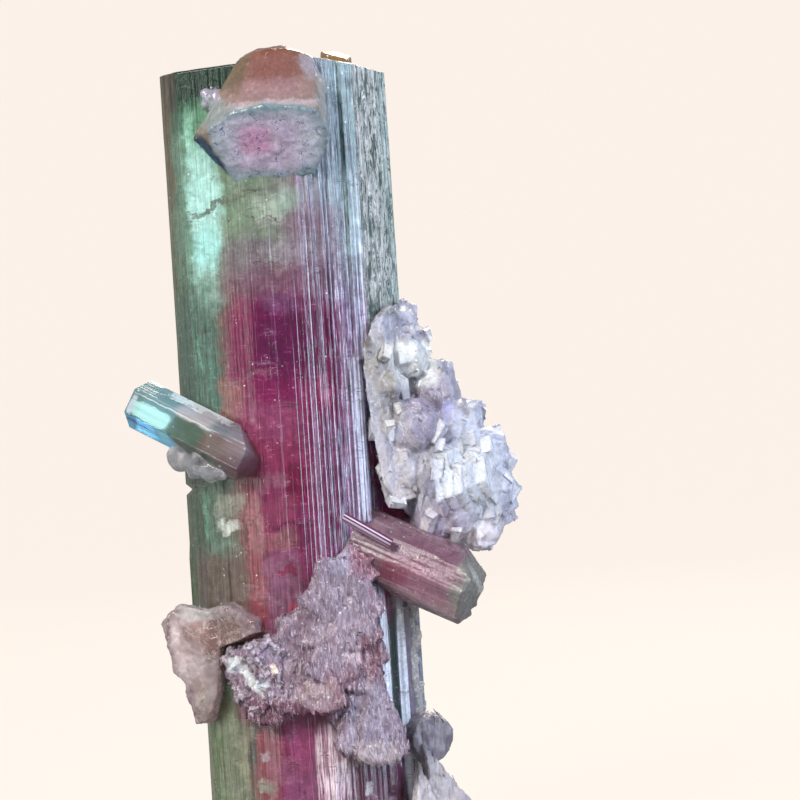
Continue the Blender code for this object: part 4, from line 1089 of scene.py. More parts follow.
topFinish = topMaterial()
topPiece = fuse("top_crystal", [topBody()] + [
    lump(k[:3], k[3], random.Random(topCrystal["seed"])) for k in topCrystal["knob"]],
    topCrystal["voxel"])
roughen(topPiece, topCrystal["relief"])
putOn(topPiece, topFinish, ["tourmaline"], sharp=32)
chipBody = shaft(chip["sides"], chip["radius"], chip["foot"], chip["top"], (0, 1, 0))
cutAway(chipBody, Vector(chip["top"]) - Vector((0, 0, chip["worn"])), chip["slope"])
chipPiece = fuse("top_chip", [chipBody], chip["voxel"])
roughen(chipPiece, chip["relief"])
putOn(chipPiece, topFinish, ["tourmaline"], sharp=32)


def crystalSpec(spec):
    # fills in what a small column needs: its section, its levels and its end planes
    root, end = Vector(spec["root"]), Vector(spec["end"])
    length = (end - root).length
    placement = Matrix.Translation(root) @ axesFrom(end - root, spec["up"])
    turn = math.radians(spec["twist"])
    spec["section"] = [(spec["radius"] * math.cos(turn + math.tau * i / spec["sides"]),
                        spec["radius"] * math.sin(turn + math.tau * i / spec["sides"]))
                       for i in range(spec["sides"])]
    spec["ribs"] = [spec["rib"]] * spec["sides"]
    spec["levels"] = [0.0, 0.12] + [length * i / spec["rings"] for i in range(1, spec["rings"] + 1)]
    axis = (end - root).normalized()
    local = placement.inverted()
    spec["tops"] = [((0.0, 0.0, length), (0.0, 0.0, 1.0))]
    for shift, tilt in spec["cuts"]:
        point = end + axis * spec["beyond"] + Vector(shift)
        way = local.to_3x3() @ (axis + Vector(tilt))
        spec["tops"].append((tuple(local @ point), tuple(way)))
    return placement


footBevel = 0.13  # mm taken off round the free end of a small crystal


def shapeFoot(radius):
    def shape(x, y, z, face, share, outward, ribs):
        keep = 1.0 - footBevel / radius if z < 0.01 else 1.0
        return x * keep, y * keep, ribs
    return shape


leftCrystal = {  # crosses the left edge
    "root": (-17.4, -5.0, 56.8), "end": (-4.5, -11.8, 49.6), "up": (0.0, -0.5, 1.0),
    "radius": 2.95, "sides": 6, "twist": 54.0, "rib": 0.03, "rings": 30, "stretch": 7.0,
    "cuts": (((0.6, 0.0, -0.2), (0.10, 0.31, 0.85)), ((-0.2, 0.0, -0.9), (-0.1, 0.1, -0.7))),
    "beyond": 0.0,
    "seam": 0, "step": 0.1, "round": 1, "pitch": 0.55, "break": 9.0, "seed": 11.0, "lip": 0.1,
    "cap": (0.96, 0.8, 0.6, 0.4, 0.2), "capGrain": 0.9, "capRough": 0.05,
}
rightCrystal = {  # at the rosette's foot
    "root": (4.5, -5.0, 40.6), "end": (19.3, -10.0, 33.4), "up": (0.0, 0.3, 1.0),
    "radius": 4.25, "sides": 9, "twist": 0.0, "rib": 0.09, "rings": 60, "stretch": 9.0,
    "cuts": (((0.0, 0.0, 2.6), (0.15, 0.0, 0.9)), ((0.0, 0.0, -2.9), (0.1, 0.1, -0.9)),
             ((0.0, -3.0, 0.0), (0.0, -1.0, 0.0))), "beyond": 0.2,
    "seam": 0, "step": 0.12, "round": 2, "pitch": 0.6, "break": 5.0, "seed": 21.0, "lip": 0.2,
    "cap": (0.95, 0.85, 0.7, 0.5, 0.3, 0.15), "capGrain": 1.4, "capRough": 0.35,
}
rod = {  # the needle above it
    "root": (5.2, -11.9, 42.7), "end": (10.4, -11.9, 39.3), "up": (0.0, 0.0, 1.0),
    "radius": 0.58, "sides": 4, "twist": 0.0, "rib": 0.03, "rings": 12, "stretch": 3.0,
    "cuts": (), "beyond": 0.0, "softRadius": 0.85,
    "seam": 0, "step": 0.08, "round": 1, "pitch": 0.3, "break": 4.0, "seed": 5.0, "lip": 0.05,
    "cap": (0.9, 0.5), "capGrain": 2.0, "capRough": 0.05,
}
leftPatches = (  # across the crystal and along it from its free end
    ("grey teal top", 2.7, 3.0, 0.30, 3.6, 0, 0.4, 0.9, "7c9c9e"),
    ("pale top", 2.6, 8.6, 0.42, 2.6, 0, 0.5, 0.9, "cabfc4"),
    ("slate top", 2.5, 13.6, 0.7, 2.6, 0, 0.5, 0.9, "8494a0"),
    ("upper band", 2.15, 3.2, 0.30, 3.2, 0, 0.4, 0.85, "6f9496"),
    ("bright aqua", 1.15, 3.4, 0.80, 2.5, 0, 0.18, 0.97, "c8fcf4"),
    ("white start", 1.3, 0.65, 0.9, 0.35, 0, 0.5, 0.85, "e4ecf8"),
    ("see-through green", 0.9, 8.6, 1.4, 2.6, 0, 0.3, 0.85, "50624e"),
    ("see-through brown", 1.0, 12.6, 1.5, 2.0, 0, 0.7, 0.8, "84605c"),
    ("rose tip", 0.4, 16.0, 2.0, 2.0, 0, 0.9, 0.75, "7c4a5c"),
    ("clear tip", 2.2, 15.8, 0.9, 2.2, 0, 1.0, 0.6, "a8989e"),
    ("sky blue", -1.1, 3.0, 1.4, 3.9, 0, 0.14, 0.97, "74ccff"),
    ("deep blue", -0.6, 1.8, 0.35, 1.8, 0, 0.7, 0.8, "2a6cae"),
    ("aqua low", -0.7, 5.6, 0.8, 0.8, 0, 0.6, 0.9, "9ceaf4"),
    ("olive low", -1.2, 10.6, 1.4, 3.4, 0, 0.4, 0.9, "4c5444"),
    ("rust low", -1.2, 15.4, 1.6, 2.2, 0, 0.8, 0.8, "704450"),
    ("dark seam", 0.30, 3.0, 0.08, 3.6, 0, 0.5, 0.85, "1c5c86"),
    ("light seam", 2.44, 6.0, 0.07, 6.0, 0, 0.5, 0.85, "eef4f4"),
    ("grey end", 0.0, 0.0, 3.2, 0.2, 0, 0.6, 0.8, "5f7f88"),
)
rightPatches = (
    ("rose upper", 14.6, 37.2, 4.6, 1.6, -27, 0.8, 0.7, "744460"),
    ("mauve flank", 14.0, 34.9, 4.4, 1.7, -27, 0.8, 0.7, "8a5c74"),
    ("red spot", 10.4, 36.2, 1.6, 1.2, -20, 1.0, 0.7, "8a2c4e"),
    ("rose patch", 12.8, 36.2, 1.6, 1.2, -20, 1.0, 0.5, "90506a"),
    ("grey flank", 12.4, 32.0, 4.4, 1.1, -25, 0.8, 0.8, "94888a"),
    ("smoky cap", 18.9, 32.0, 2.0, 2.9, 30, 0.6, 0.9, "7e827c"),
    ("smoky cap top", 19.6, 35.6, 1.5, 1.8, 30, 0.7, 0.8, "92988f"),
    ("pale edge", 19.9, 34.0, 0.3, 2.4, 20, 0.8, 0.7, "d0d4d0"),
)
rodPatches = (  # in the needle's own frame: across and along
    # painted reflections: the pale flats stand for light mirrored by the needle's faces
    ("upper flat reflection", 0.24, 3.0, 0.07, 3.4, 0, 0.4, 0.95, "e4dcf0"),
    ("lower flat reflection", -0.14, 3.0, 0.12, 3.4, 0, 0.4, 0.95, "d8d2ec"),
    ("lower edge", -0.46, 3.0, 0.10, 3.4, 0, 0.4, 0.8, "b48ca4"),
)


def mineral(name, spec, patches):
    # a translucent mineral: patches of colour, a grain in its own direction, gloss and fine relief
    material, tree, shader = newMaterial(name)
    place = addNode(tree, "ShaderNodeVectorMath", {
        0: addNode(tree, "ShaderNodeTexCoord").outputs["Object"], 3: 1 / mm}, operation="SCALE")
    laid = place
    if "frame" in spec:  # patterns laid along the crystal's own axis
        turn = spec["frame"].inverted()
        place = addNode(tree, "ShaderNodeMapping", {
            "Vector": place, "Location": turn.to_translation(), "Rotation": turn.to_euler()},
            vector_type="POINT")
        if spec["own"]:  # and its patches too, across it and along it
            parts = addNode(tree, "ShaderNodeSeparateXYZ", (place,))
            laid = addNode(tree, "ShaderNodeCombineXYZ", {0: parts.outputs["Y"],
                                                          2: parts.outputs["Z"]})
    cloud = addNode(tree, "ShaderNodeTexNoise", {
        "Vector": place, "Scale": spec["cloud"], "Detail": 5.0, "Roughness": 0.65})
    drift = spec["drift"]
    sway = addNode(tree, "ShaderNodeVectorMath", (
        cloud.outputs["Color"], (drift, drift, drift), (-drift / 2, -drift / 2, -drift / 2)),
        operation="MULTIPLY_ADD")
    ragged = addNode(tree, "ShaderNodeVectorMath", (laid, sway), operation="ADD")
    grain = stretchedNoise(tree, place, spec["stretch"], 1.0, 5.0, 0.7, spec["curl"])
    tone = addNode(tree, "ShaderNodeValToRGB", (cloud,))
    ends = tone.color_ramp.elements
    for end, position, code in zip(ends, (0.3, 0.7), (spec["dark"], spec["light"])):
        end.position, end.color = position, linear(code)
    color = paint(tree, tone, ragged, patches)
    if "books" in spec:  # every book its own shade
        own = addNode(tree, "ShaderNodeAttribute", attribute_name="shade").outputs["Fac"]
        color = shadeColor(tree, color, addNode(
            tree, "ShaderNodeMapRange", (own, 0.0, 1.0, *spec["books"])))
    if "rimHighlights" in spec:  # and a painted highlight, whiter along its edges
        rim = addNode(tree, "ShaderNodeAttribute", attribute_name="rim").outputs["Fac"]
        color = layColors(tree, color, (
            (addNode(tree, "ShaderNodeMapRange", (rim, 0.45, 1.0, 0.0, spec["rimHighlights"])), "ffffff"),))
    color = shadeColor(tree, color, addNode(tree, "ShaderNodeMapRange", (
        grain, 0.3, 0.7, 1.0 - spec["contrast"], 1.0 + spec["contrast"])))
    color = layColors(tree, color, (
        (addNode(tree, "ShaderNodeMapRange", (grain, 0.62, 0.72, 0.0, spec["frost"])), spec["white"]),))
    grown = grain
    if "facets" in spec:  # small crystal faces: every cell has its own tilt, shade and a white edge that is a painted highlight
        stretch, tilt, edges, step = spec["facets"]
        bent = addNode(tree, "ShaderNodeVectorMath", (place, stretch), operation="MULTIPLY")
        bent = addNode(tree, "ShaderNodeVectorMath", (cloud.outputs["Color"], (0.5, 0.5, 0.5), bent),
                       operation="MULTIPLY_ADD")
        cell = addNode(tree, "ShaderNodeTexVoronoi", {"Vector": bent, "Scale": 1.0})
        border = addNode(tree, "ShaderNodeTexVoronoi", {"Vector": bent, "Scale": 1.0},
                         feature="DISTANCE_TO_EDGE").outputs["Distance"]
        away = addNode(tree, "ShaderNodeVectorMath", (bent, cell.outputs["Position"]),
                       operation="SUBTRACT")
        lean = addNode(tree, "ShaderNodeVectorMath", (cell.outputs["Color"], (0.5, 0.5, 0.5)),
                       operation="SUBTRACT")
        slope = addNode(tree, "ShaderNodeVectorMath", (away, lean), operation="DOT_PRODUCT")
        grown = addNode(tree, "ShaderNodeMath", (slope, tilt, overlap(
            tree, grain, spec["relief"] * 0.3)), operation="MULTIPLY_ADD")
        own = addNode(tree, "ShaderNodeSeparateXYZ", (cell.outputs["Color"],)).outputs["Z"]
        color = shadeColor(tree, color, addNode(
            tree, "ShaderNodeMapRange", (own, 0.0, 1.0, 1.0 - step, 1.0 + step)))
        color = layColors(tree, color, ((overlap(
            tree, addNode(tree, "ShaderNodeMapRange", (border, 0.07, 0.01)),
            addNode(tree, "ShaderNodeMapRange", (grain, 0.42, 0.55)), edges), "ffffff"),))
    # thin lines and dots laid on last: dark lines are cracks, white lines are painted sheen on fibres,
    # and the white dots are painted glints
    crack = stretchedNoise(tree, place, spec.get("crackAndSheenWay", (1.0, 1.0, 1.0)), 0.45, 4.0, 0.6)
    color = layColors(tree, color, (
        (overlap(tree, fineLines(tree, crack, 0.016), spec.get("cracksAndSheenThreads", 0.0)),
         spec.get("crackAndSheenColor", "4a4448")),
        (overlap(tree, sparkles(tree, place, 0.16, 0.6, 0.12), spec.get("glints", 0.0)), "ffffff")))
    bump = addNode(tree, "ShaderNodeBump", {
        "Height": grown, "Strength": 1.0 if "facets" in spec else spec["relief"],
        "Distance": 1.0 * mm if "facets" in spec else 0.2 * mm})
    setInputs(tree, shader, {
        "Base Color": color, "Normal": bump, "IOR": spec["ior"], "Transmission Weight": spec["clear"],
        "Roughness": addNode(tree, "ShaderNodeMapRange", (cloud, 0.35, 0.65, *spec["rough"]))})
    return material


leftPlace = crystalSpec(leftCrystal)
leftFinish = mineral("clear aqua tourmaline", {  # glassy, with growth lines along it
    "frame": leftPlace, "own": True, "cloud": 0.5, "drift": 0.7, "stretch": (3.0, 3.0, 0.12),
    "curl": 0.0, "dark": "6c9492", "light": "9cc4c0", "contrast": 0.22, "frost": 0.12,
    "white": "f0fcfa", "glints": 0.8,
    "rough": (0.03, 0.08), "ior": 1.64, "clear": 0.5, "relief": 0.2}, leftPatches)
putOn(column("left_crystal", leftCrystal, leftFinish, shapeFoot(leftCrystal["radius"]), leftPlace),
      leftFinish, ["tourmaline"], sharp=30)
rightPlace = crystalSpec(rightCrystal)
rightFinish = mineral("rose tourmaline, smoky cap", {  # rose under a rough grey green skin
    "frame": rightPlace, "own": False, "cloud": 0.7, "drift": 1.4, "stretch": (0.7, 0.7, 3.2),
    "curl": 0.7, "dark": "744c5c", "light": "a08490", "contrast": 0.2, "frost": 0.2,
    "white": "d8cad2", "cracksAndSheenThreads": 0.5, "glints": 0.35,
    "rough": (0.12, 0.3), "ior": 1.64, "clear": 0.42, "relief": 0.5}, rightPatches)
putOn(column("right_crystal", rightCrystal, rightFinish, shapeFoot(rightCrystal["radius"]), rightPlace),
      rightFinish, ["tourmaline"], sharp=30)
rodPlace = crystalSpec(rod)
rodFinish = mineral("lilac tourmaline needle", {  # mirror flats, their paleness a painted reflection, with a dark seam between them
    "frame": rodPlace, "own": True, "cloud": 1.0, "drift": 0.05, "stretch": (4.0, 4.0, 0.3),
    "curl": 0.0, "dark": "5c2844", "light": "703a56", "contrast": 0.15, "frost": 0.2,
    "white": "e8e4f4",
    "rough": (0.08, 0.15), "ior": 1.64, "clear": 0.2, "relief": 0.1}, rodPatches)
putOn(column("rod_crystal", rod, rodFinish, shapeFoot(rod["softRadius"]), rodPlace),
      rodFinish, ["tourmaline"], sharp=30)


rosette = {
    "lumps": (  # x, y, z, radius
        (12.9, -4.6, 64.4, 2.3), (13.6, -5.5, 60.2, 3.0), (10.9, -8.3, 57.0, 2.3),
        (16.6, -4.5, 56.0, 3.3), (13.6, -7.0, 52.0, 4.0), (18.6, -4.0, 52.2, 3.6),
        (16.2, -6.5, 46.8, 4.4), (21.2, -4.0, 48.6, 3.8), (21.9, -4.5, 44.4, 3.7),
        (18.0, -6.0, 42.2, 3.8), (20.7, -4.5, 40.2, 3.2), (12.6, -7.0, 47.2, 3.2),
        (15.4, -6.6, 41.6, 3.0), (15.0, 0.5, 47.5, 5.0), (14.6, 0.5, 56.5, 3.6)),
    "foot": ((9.9, 46.0), (9.3, 51.0), (8.7, 56.5), (8.6, 61.5), (9.8, 64.0), (11.6, 65.5),
             (13.2, 66.8), (15.6, 66.0), (15.6, 41.5), (13.0, 41.5), (11.2, 44.0)),
    "footThickness": 1.3, "voxel": 0.2, "seed": 8, "relief": (((0.9, 0.9, 0.5), 0.22, "cobbles"),),
    "blocks": 5, "blockSize": ((0.6, 1.0), (0.6, 1.0), (1.0, 1.5)),
    "plates": {"first": (16.9, -8.6, 44.6), "step": (1.25, 0.25, 0.45), "count": 5,
               "radius": 3.5, "thickness": 0.75, "out": (0.93, -0.34, 0.1)},
    "layers": (
        {"grain": "block", "density": 0.05, "size": (1.4, 3.0), "flat": 0.8, "lean": 0.5,
         "spin": 0.7, "upright": 1.0, "seed": 3},
        {"grain": "splinter", "density": 0.30, "size": (0.4, 1.0), "lean": 1.2, "seed": 5}),
}
rosettePatches = (
    ("smoky tip", 12.2, 65.9, 1.01, 1.14, 0, 0.7, 0.9, "8c949a"),
    ("violet tip", 13.1, 63.7, 0.76, 1.52, 0, 0.7, 0.8, "9ea2bc"),
    ("lilac heart", 15.6, 53.6, 3.4, 4.0, 0, 1.0, 0.75, "9a8ca2"),
    ("milk white lump", 13.9, 59.3, 3.0, 2.7, 0, 0.5, 1.0, "fafeff"),
    ("grey brown flakes", 10.4, 57.7, 1.6, 5.6, 10, 0.8, 0.8, "a8a49e"),
    ("brown stain", 9.0, 62.3, 0.51, 0.89, 0, 0.7, 0.8, "7c6a4c"),
    ("pale window", 11.6, 46.9, 2.41, 3.42, 10, 0.8, 0.8, "d8d2d8"),
    ("frosted edge", 22.0, 48.4, 3.0, 6.6, 35, 0.7, 0.7, "dce6fc"),
    ("bright plates", 19.4, 45.6, 3.6, 4.2, -8, 0.6, 0.9, "eef4fc"),
    ("mauve below", 15.2, 40.9, 4.05, 2.2, 20, 0.8, 0.8, "c0aec6"),
    ("bright foot", 20.3, 39.2, 2.66, 1.65, 10, 0.7, 0.9, "f6f0fa"),
    ("violet glint", 17.7, 53.6, 0.7, 1.0, 0, 0.8, 0.7, "b8b8ec"),
    ("violet glint low", 15.1, 45.3, 0.7, 1.1, 0, 0.8, 0.6, "c0c0e4"),
)
rosetteFinish = mineral("glassy lilac mica", {  # icy and pearly, clear at the edges of its books
    "cloud": 0.6, "drift": 1.2, "stretch": (1.6, 1.6, 1.6), "curl": 0.8,
    "dark": "aeacbe", "light": "e2e4f4", "contrast": 0.16, "frost": 0.6, "white": "fdfdff",
    "books": (0.9, 1.15), "rimHighlights": 0.6, "cracksAndSheenThreads": 0.3, "crackAndSheenColor": "7c7484", "glints": 0.8,
    "facets": ((0.85, 0.85, 0.30), 1.7, 0.4, 0.14),  # upright cells of 1.2 by 3.3 mm
    "rough": (0.02, 0.10), "ior": 1.56, "clear": 0.35, "relief": 0.5},
    rosettePatches)


def block(centre, radius, uneven):
    # a rough upright block of ice-clear mica
    bm = bmesh.new()
    bmesh.ops.create_cube(bm, size=1.0)
    size = [radius * uneven.uniform(*span) for span in rosette["blockSize"]]
    for vert in bm.verts:
        vert.co = Vector([c * s * uneven.uniform(0.75, 1.1) for c, s in zip(vert.co, size)])
    turn = Euler((uneven.uniform(-0.3, 0.3), uneven.uniform(-0.35, 0.35), uneven.uniform(0.0, 3.1)))
    away = Vector([uneven.uniform(-0.42, 0.42) * radius for _ in range(3)])
    bm.transform(Matrix.Translation(Vector(centre) + away) @ turn.to_matrix().to_4x4())
    return bm


def makeRosette():
    uneven = random.Random(rosette["seed"])
    bodies = [crust(rosette["foot"], rosette["footThickness"])]
    for x, y, z, radius in rosette["lumps"]:
        bodies.append(lump((x, y, z), radius * 0.82, uneven, 3))
        bodies += [block((x, y, z), radius, uneven) for _ in range(rosette["blocks"])]
    stack = rosette["plates"]
    for i in range(stack["count"]):
        centre = Vector(stack["first"]) + Vector(stack["step"]) * i
        radius = stack["radius"] * (1.0 - 0.07 * abs(i - 2))
        bodies.append(book(centre, stack["out"], (0.0, 0.2, 1.0), radius, stack["thickness"]))
    body = fuse("lepidolite_rosette_books", bodies, rosette["voxel"])
    roughen(body, rosette["relief"])
    return scatter(body, rosetteFinish, rosette["layers"])


rosettePiece = makeRosette()
putOn(rosettePiece, rosetteFinish, ["lepidolite_rosette"], sharp=28)


apron = {  # the shingled mica over the front
    "outline": ((2.2, 38.0), (8.4, 37.9), (7.0, 35.8), (8.2, 32.0), (8.2, 26.1), (8.9, 21.3),
                (9.3, 17.2), (7.8, 15.0), (5.0, 15.0), (3.7, 18.2), (1.6, 21.3), (-0.6, 21.2),
                (-4.4, 19.8), (-5.9, 21.8), (-6.0, 25.0), (-4.4, 29.0), (-1.5, 30.9), (0.5, 33.8)),
    "thickness": 1.3, "voxel": 0.25,
    "fans": (  # apex x, apex z, radius, heading, spread, lift off the face
        (5.4, 39.6, 5.2, -88, 84, 0.6), (3.2, 36.8, 5.6, -104, 80, 0.9),
        (6.0, 36.4, 5.8, -90, 66, 1.0), (1.6, 33.8, 5.6, -112, 78, 1.1),
        (4.9, 33.6, 6.0, -90, 74, 1.6), (-0.9, 30.6, 5.4, -118, 80, 1.1),
        (6.2, 31.6, 6.2, -92, 56, 1.2), (2.4, 30.2, 6.2, -98, 70, 1.9),
        (5.2, 28.6, 5.8, -90, 62, 1.8), (-0.6, 27.2, 6.2, -104, 70, 1.7),
        (-3.6, 25.2, 5.4, -112, 66, 0.9), (2.0, 27.2, 6.2, -88, 52, 2.4),
        (6.6, 26.4, 11.6, -90, 33, 2.4), (4.9, 25.2, 9.4, -94, 38, 1.7),
        (7.4, 24.8, 7.8, -88, 34, 1.5)),
    "fanThickness": 1.5, "tilt": 8.0, "scallops": 12,
    "relief": (((2.2, 2.2, 0.4), 0.16, "ridges"), ((0.6, 0.6, 0.4), 0.30, "swell"),
               ((3.0, 3.0, 0.8), 0.08, "swell")),
    "layers": (
        {"grain": "flake", "density": 5.6, "size": (0.5, 1.4), "flat": 1.0, "lean": 0.10,
         "roll": 0.5, "spin": 0.3, "upright": 1.0, "seed": 12},
        {"grain": "splinter", "density": 0.18, "size": (0.4, 0.9), "lean": 1.2, "seed": 13}),
}
rightBooks = {  # the round book and the fans on the right edge
    "book": ((13.2, -5.9, 16.6), 2.9, 2.6), "out": (0.45, -0.9, 0.0), "voxel": 0.2,
    "fans": ((11.9, -6.9, 16.0, 10.8, -70, 34), (11.3, -7.8, 13.6, 8.6, -84, 36),
             (13.0, -5.4, 14.4, 7.6, -70, 28)),
    "relief": (((2.0, 2.0, 0.5), 0.14, "ridges"), ((0.8, 0.8, 0.8), 0.18, "swell")),
    "layers": (
        {"grain": "flake", "density": 0.5, "size": (0.7, 2.0), "flat": 0.8, "lean": 0.15,
         "roll": 0.4, "spin": 0.3, "upright": 1.0, "seed": 14},),
}
apronPatches = (
    ("blue grey head", 4.3, 37.8, 1.30, 2.04, 0, 0.7, 0.7, "a8a2b8"),
    ("rose head", 8.4, 37.9, 2.78, 2.41, 0, 0.7, 0.85, "9c6676"),
    ("lilac felt", 4.1, 32.6, 2.96, 3.57, 0, 0.7, 0.7, "948492"),
    ("lilac felt lower", 3.1, 28.9, 2.99, 2.46, 0, 0.7, 0.7, "988492"),
    ("wine shade", 7.3, 26.8, 1.28, 2.56, 0, 0.6, 0.85, "744654"),
    ("wine shade left", 3.9, 23.6, 1.60, 2.14, 0, 0.7, 0.7, "845864"),
    ("pale lobe", 1.1, 23.0, 2.03, 1.49, 0, 0.7, 0.75, "9e868c"),
    ("pale brush", 5.5, 27.2, 0.75, 1.07, 0, 0.6, 0.8, "c8b4be"),
    ("big lobe", 7.2, 19.4, 2.99, 4.48, 0, 0.6, 0.8, "94889a"),
    ("lobe rim", 7.1, 15.9, 2.67, 1.49, 0, 0.6, 0.6, "b0a2a4"),
    ("wine foot", -4.2, 21.4, 3.84, 1.49, 0, 0.5, 0.9, "704458"),
    ("wine foot right", 0.7, 20.8, 1.92, 0.85, 0, 0.6, 0.7, "8a4a62"),
)
apronFinish = mineral("matted lilac mica", {  # fine upright plates, satin, wine red in the gaps
    "cloud": 0.5, "drift": 1.8, "stretch": (2.6, 2.6, 0.55), "curl": 0.9,
    "dark": "765c6e", "light": "9a8696", "contrast": 0.2, "frost": 0.5, "white": "e8dee8",
    # the white threads are painted sheen: light caught on the crumpled fibres
    "cracksAndSheenThreads": 0.4, "crackAndSheenColor": "f2e8f4", "crackAndSheenWay": (3.0, 3.0, 1.0),
    "books": (0.86, 1.18), "glints": 0.6, "rough": (0.06, 0.2), "ior": 1.56, "clear": 0.16,
    "relief": 0.6}, apronPatches)


def fan(apex, heading, spread, radius, out):
    outline = [(0.0, 0.0)]
    for i in range(apron["scallops"] + 1):
        share = i / apron["scallops"]
        angle = math.radians(heading + spread * (share - 0.5))
        reach = radius * (0.93 + 0.07 * math.sin(math.pi * share) + 0.025 * (i % 2))
        outline.append((reach * math.cos(angle), reach * math.sin(angle)))
    turn = axesFrom(out, (0.0, 0.0, 1.0)) @ Matrix.Rotation(math.radians(-apron["tilt"]), 4, "X")
    return slab(outline, apron["fanThickness"], Matrix.Translation(apex) @ turn)


def makeApron():
    bodies = [crust(apron["outline"], apron["thickness"])]
    for x, z, radius, heading, spread, lift in apron["fans"]:
        y, out = frontSpot(x)
        apex = Vector((x, y, z)) + out * (lift - apron["fanThickness"] * 0.6)
        bodies.append(fan(apex, heading, spread, radius, out))
    body = fuse("lepidolite_apron_felt", bodies, apron["voxel"])
    roughen(body, apron["relief"])
    return scatter(body, apronFinish, apron["layers"])


def makeRightBooks():
    bodies = [fan(Vector(f[:3]), f[4], f[5], f[3], rightBooks["out"]) for f in rightBooks["fans"]]
    centre, radius, thickness = rightBooks["book"]
    bodies.append(book(centre, rightBooks["out"], (0, 0, 1), radius, thickness, 18))
    body = fuse("lepidolite_edge_books", bodies, rightBooks["voxel"])
    roughen(body, rightBooks["relief"])
    return scatter(body, bookFinish, rightBooks["layers"])


putOn(makeApron(), apronFinish, ["lepidolite_apron"], sharp=40)
bookPatches = (
    ("slate book", 13.4, 16.6, 2.6, 2.9, 0, 0.5, 0.9, "6e6a76"),
    ("pale fan", 13.0, 10.0, 3.6, 4.2, 0, 0.6, 0.8, "b0aaae"),
    ("white edge", 11.2, 12.0, 0.5, 3.6, 8, 0.6, 0.8, "d6cfd4"),
)
bookFinish = mineral("slate lilac mica books", {  # flat sheets, pearly, with smooth faces
    "cloud": 0.6, "drift": 0.8, "stretch": (2.4, 2.4, 0.5), "curl": 0.5,
    "dark": "7a7280", "light": "aaa0aa", "contrast": 0.14, "frost": 0.4, "white": "dfd9e4",
    "books": (0.92, 1.12), "rough": (0.15, 0.35), "ior": 1.56, "clear": 0.2, "relief": 0.5},
    bookPatches)
putOn(makeRightBooks(), bookFinish, ["lepidolite_books"], sharp=40)


sprig = {  # white albite beside the apron
    "outline": ((-9.0, 26.0), (-8.8, 27.9), (-6.5, 28.8), (-4.2, 29.6), (-2.8, 28.2), (-2.6, 25.6),
                (-3.3, 23.2), (-5.6, 21.4), (-7.6, 22.8)),
    "thickness": 1.9, "voxel": 0.16,
    "relief": (((1.3, 1.3, 1.3), 0.4, "cobbles"), ((0.6, 0.6, 0.6), 0.3, "swell")),
    "layers": (
        {"grain": "block", "density": 0.8, "size": (0.6, 1.4), "lean": 1.1, "seed": 9},
        {"grain": "splinter", "density": 1.4, "size": (0.35, 0.8), "lean": 1.3, "seed": 10}),
}
plate = {  # quartz that laps round the lower left edge
    "outline": ((-15.4, 31.7), (-13.2, 33.8), (-10.6, 33.0), (-8.0, 33.5), (-4.7, 31.6),
                (-4.4, 30.2), (-9.0, 28.6), (-9.6, 23.6), (-11.0, 20.4), (-12.3, 20.0),
                (-13.0, 22.4), (-13.3, 25.0), (-14.4, 25.9), (-15.0, 29.0)),
    "onFace": -7.0, "thickness": 2.6, "sunk": 0.15, "voxel": 0.2,
    "relief": (((0.35, 0.35, 0.35), 0.5, "swell"), ((1.2, 1.2, 1.2), 0.12, "ridges")),
}
bud = {"lumps": ((-12.7, -7.6, 50.4, 2.0), (-12.2, -8.6, 51.6, 1.2), (-11.0, -9.0, 49.4, 1.8),
                 (-10.6, -10.0, 50.2, 1.2), (-9.4, -10.0, 48.6, 1.5), (-8.2, -10.8, 48.4, 1.0)),
       "voxel": 0.2, "seed": 6, "relief": (((0.9, 0.9, 0.9), 0.2, "cobbles"),)}
sprigPatches = (
    ("mauve ground", -1.9, 24.0, 2.0, 2.4, 0, 0.8, 0.85, "8c6c86"),
    ("wine foot", -5.0, 22.0, 2.4, 1.2, 0, 0.8, 0.85, "845470"),
    ("violet head", -4.4, 28.2, 2.0, 1.0, 0, 0.8, 0.7, "ac9cba"),
    ("white tuft", -8.3, 26.9, 0.6, 0.9, 0, 1.0, 0.85, "e8eef4"),
    ("white band", -6.4, 25.4, 0.5, 2.2, 36, 1.0, 0.9, "f6faff"),
    ("white blades", -4.7, 24.2, 0.6, 1.0, 20, 1.0, 0.8, "f0f4fa"),
    ("dark pocket", -5.0, 26.9, 0.5, 0.5, 0, 0.7, 0.6, "6c5c70"),
    ("glint", -3.6, 26.3, 0.35, 0.5, 20, 0.8, 0.9, "fff0e0"),
)
platePatches = (
    ("rose body", -10.0, 29.8, 3.24, 1.94, 0, 0.8, 0.75, "a87c74"),
    ("grey body", -13.0, 27.2, 1.62, 2.37, 0, 0.8, 0.7, "ccbcc0"),
    ("grey top", -12.3, 32.8, 1.9, 0.8, 0, 0.8, 0.85, "ccc8c8"),
    ("grey tail", -11.9, 22.8, 0.75, 2.37, 0, 0.8, 0.85, "ac9a96"),
    # painted highlights: icy bright light along the plate's left edge
    ("painted highlight edge", -14.8, 30.4, 0.5, 1.8, 0, 1.0, 0.6, "f4e8ec"),
    ("painted highlight edge low", -14.1, 27.0, 0.4, 1.6, 0, 1.0, 0.4, "ecdce2"),
)
sprigFinish = mineral("glassy white albite", {  # frosted blades that catch the light
    "cloud": 0.9, "drift": 0.8, "stretch": (2.0, 2.0, 2.0), "curl": 0.5,
    "dark": "80647c", "light": "b096ac", "contrast": 0.2, "frost": 0.4, "white": "f4f0fa",
    "books": (0.8, 1.25), "rimHighlights": 0.35, "glints": 0.8, "rough": (0.02, 0.08), "ior": 1.53,
    "facets": ((1.4, 1.4, 1.1), 1.2, 0.6, 0.15),
    "clear": 0.3, "relief": 0.3}, sprigPatches)
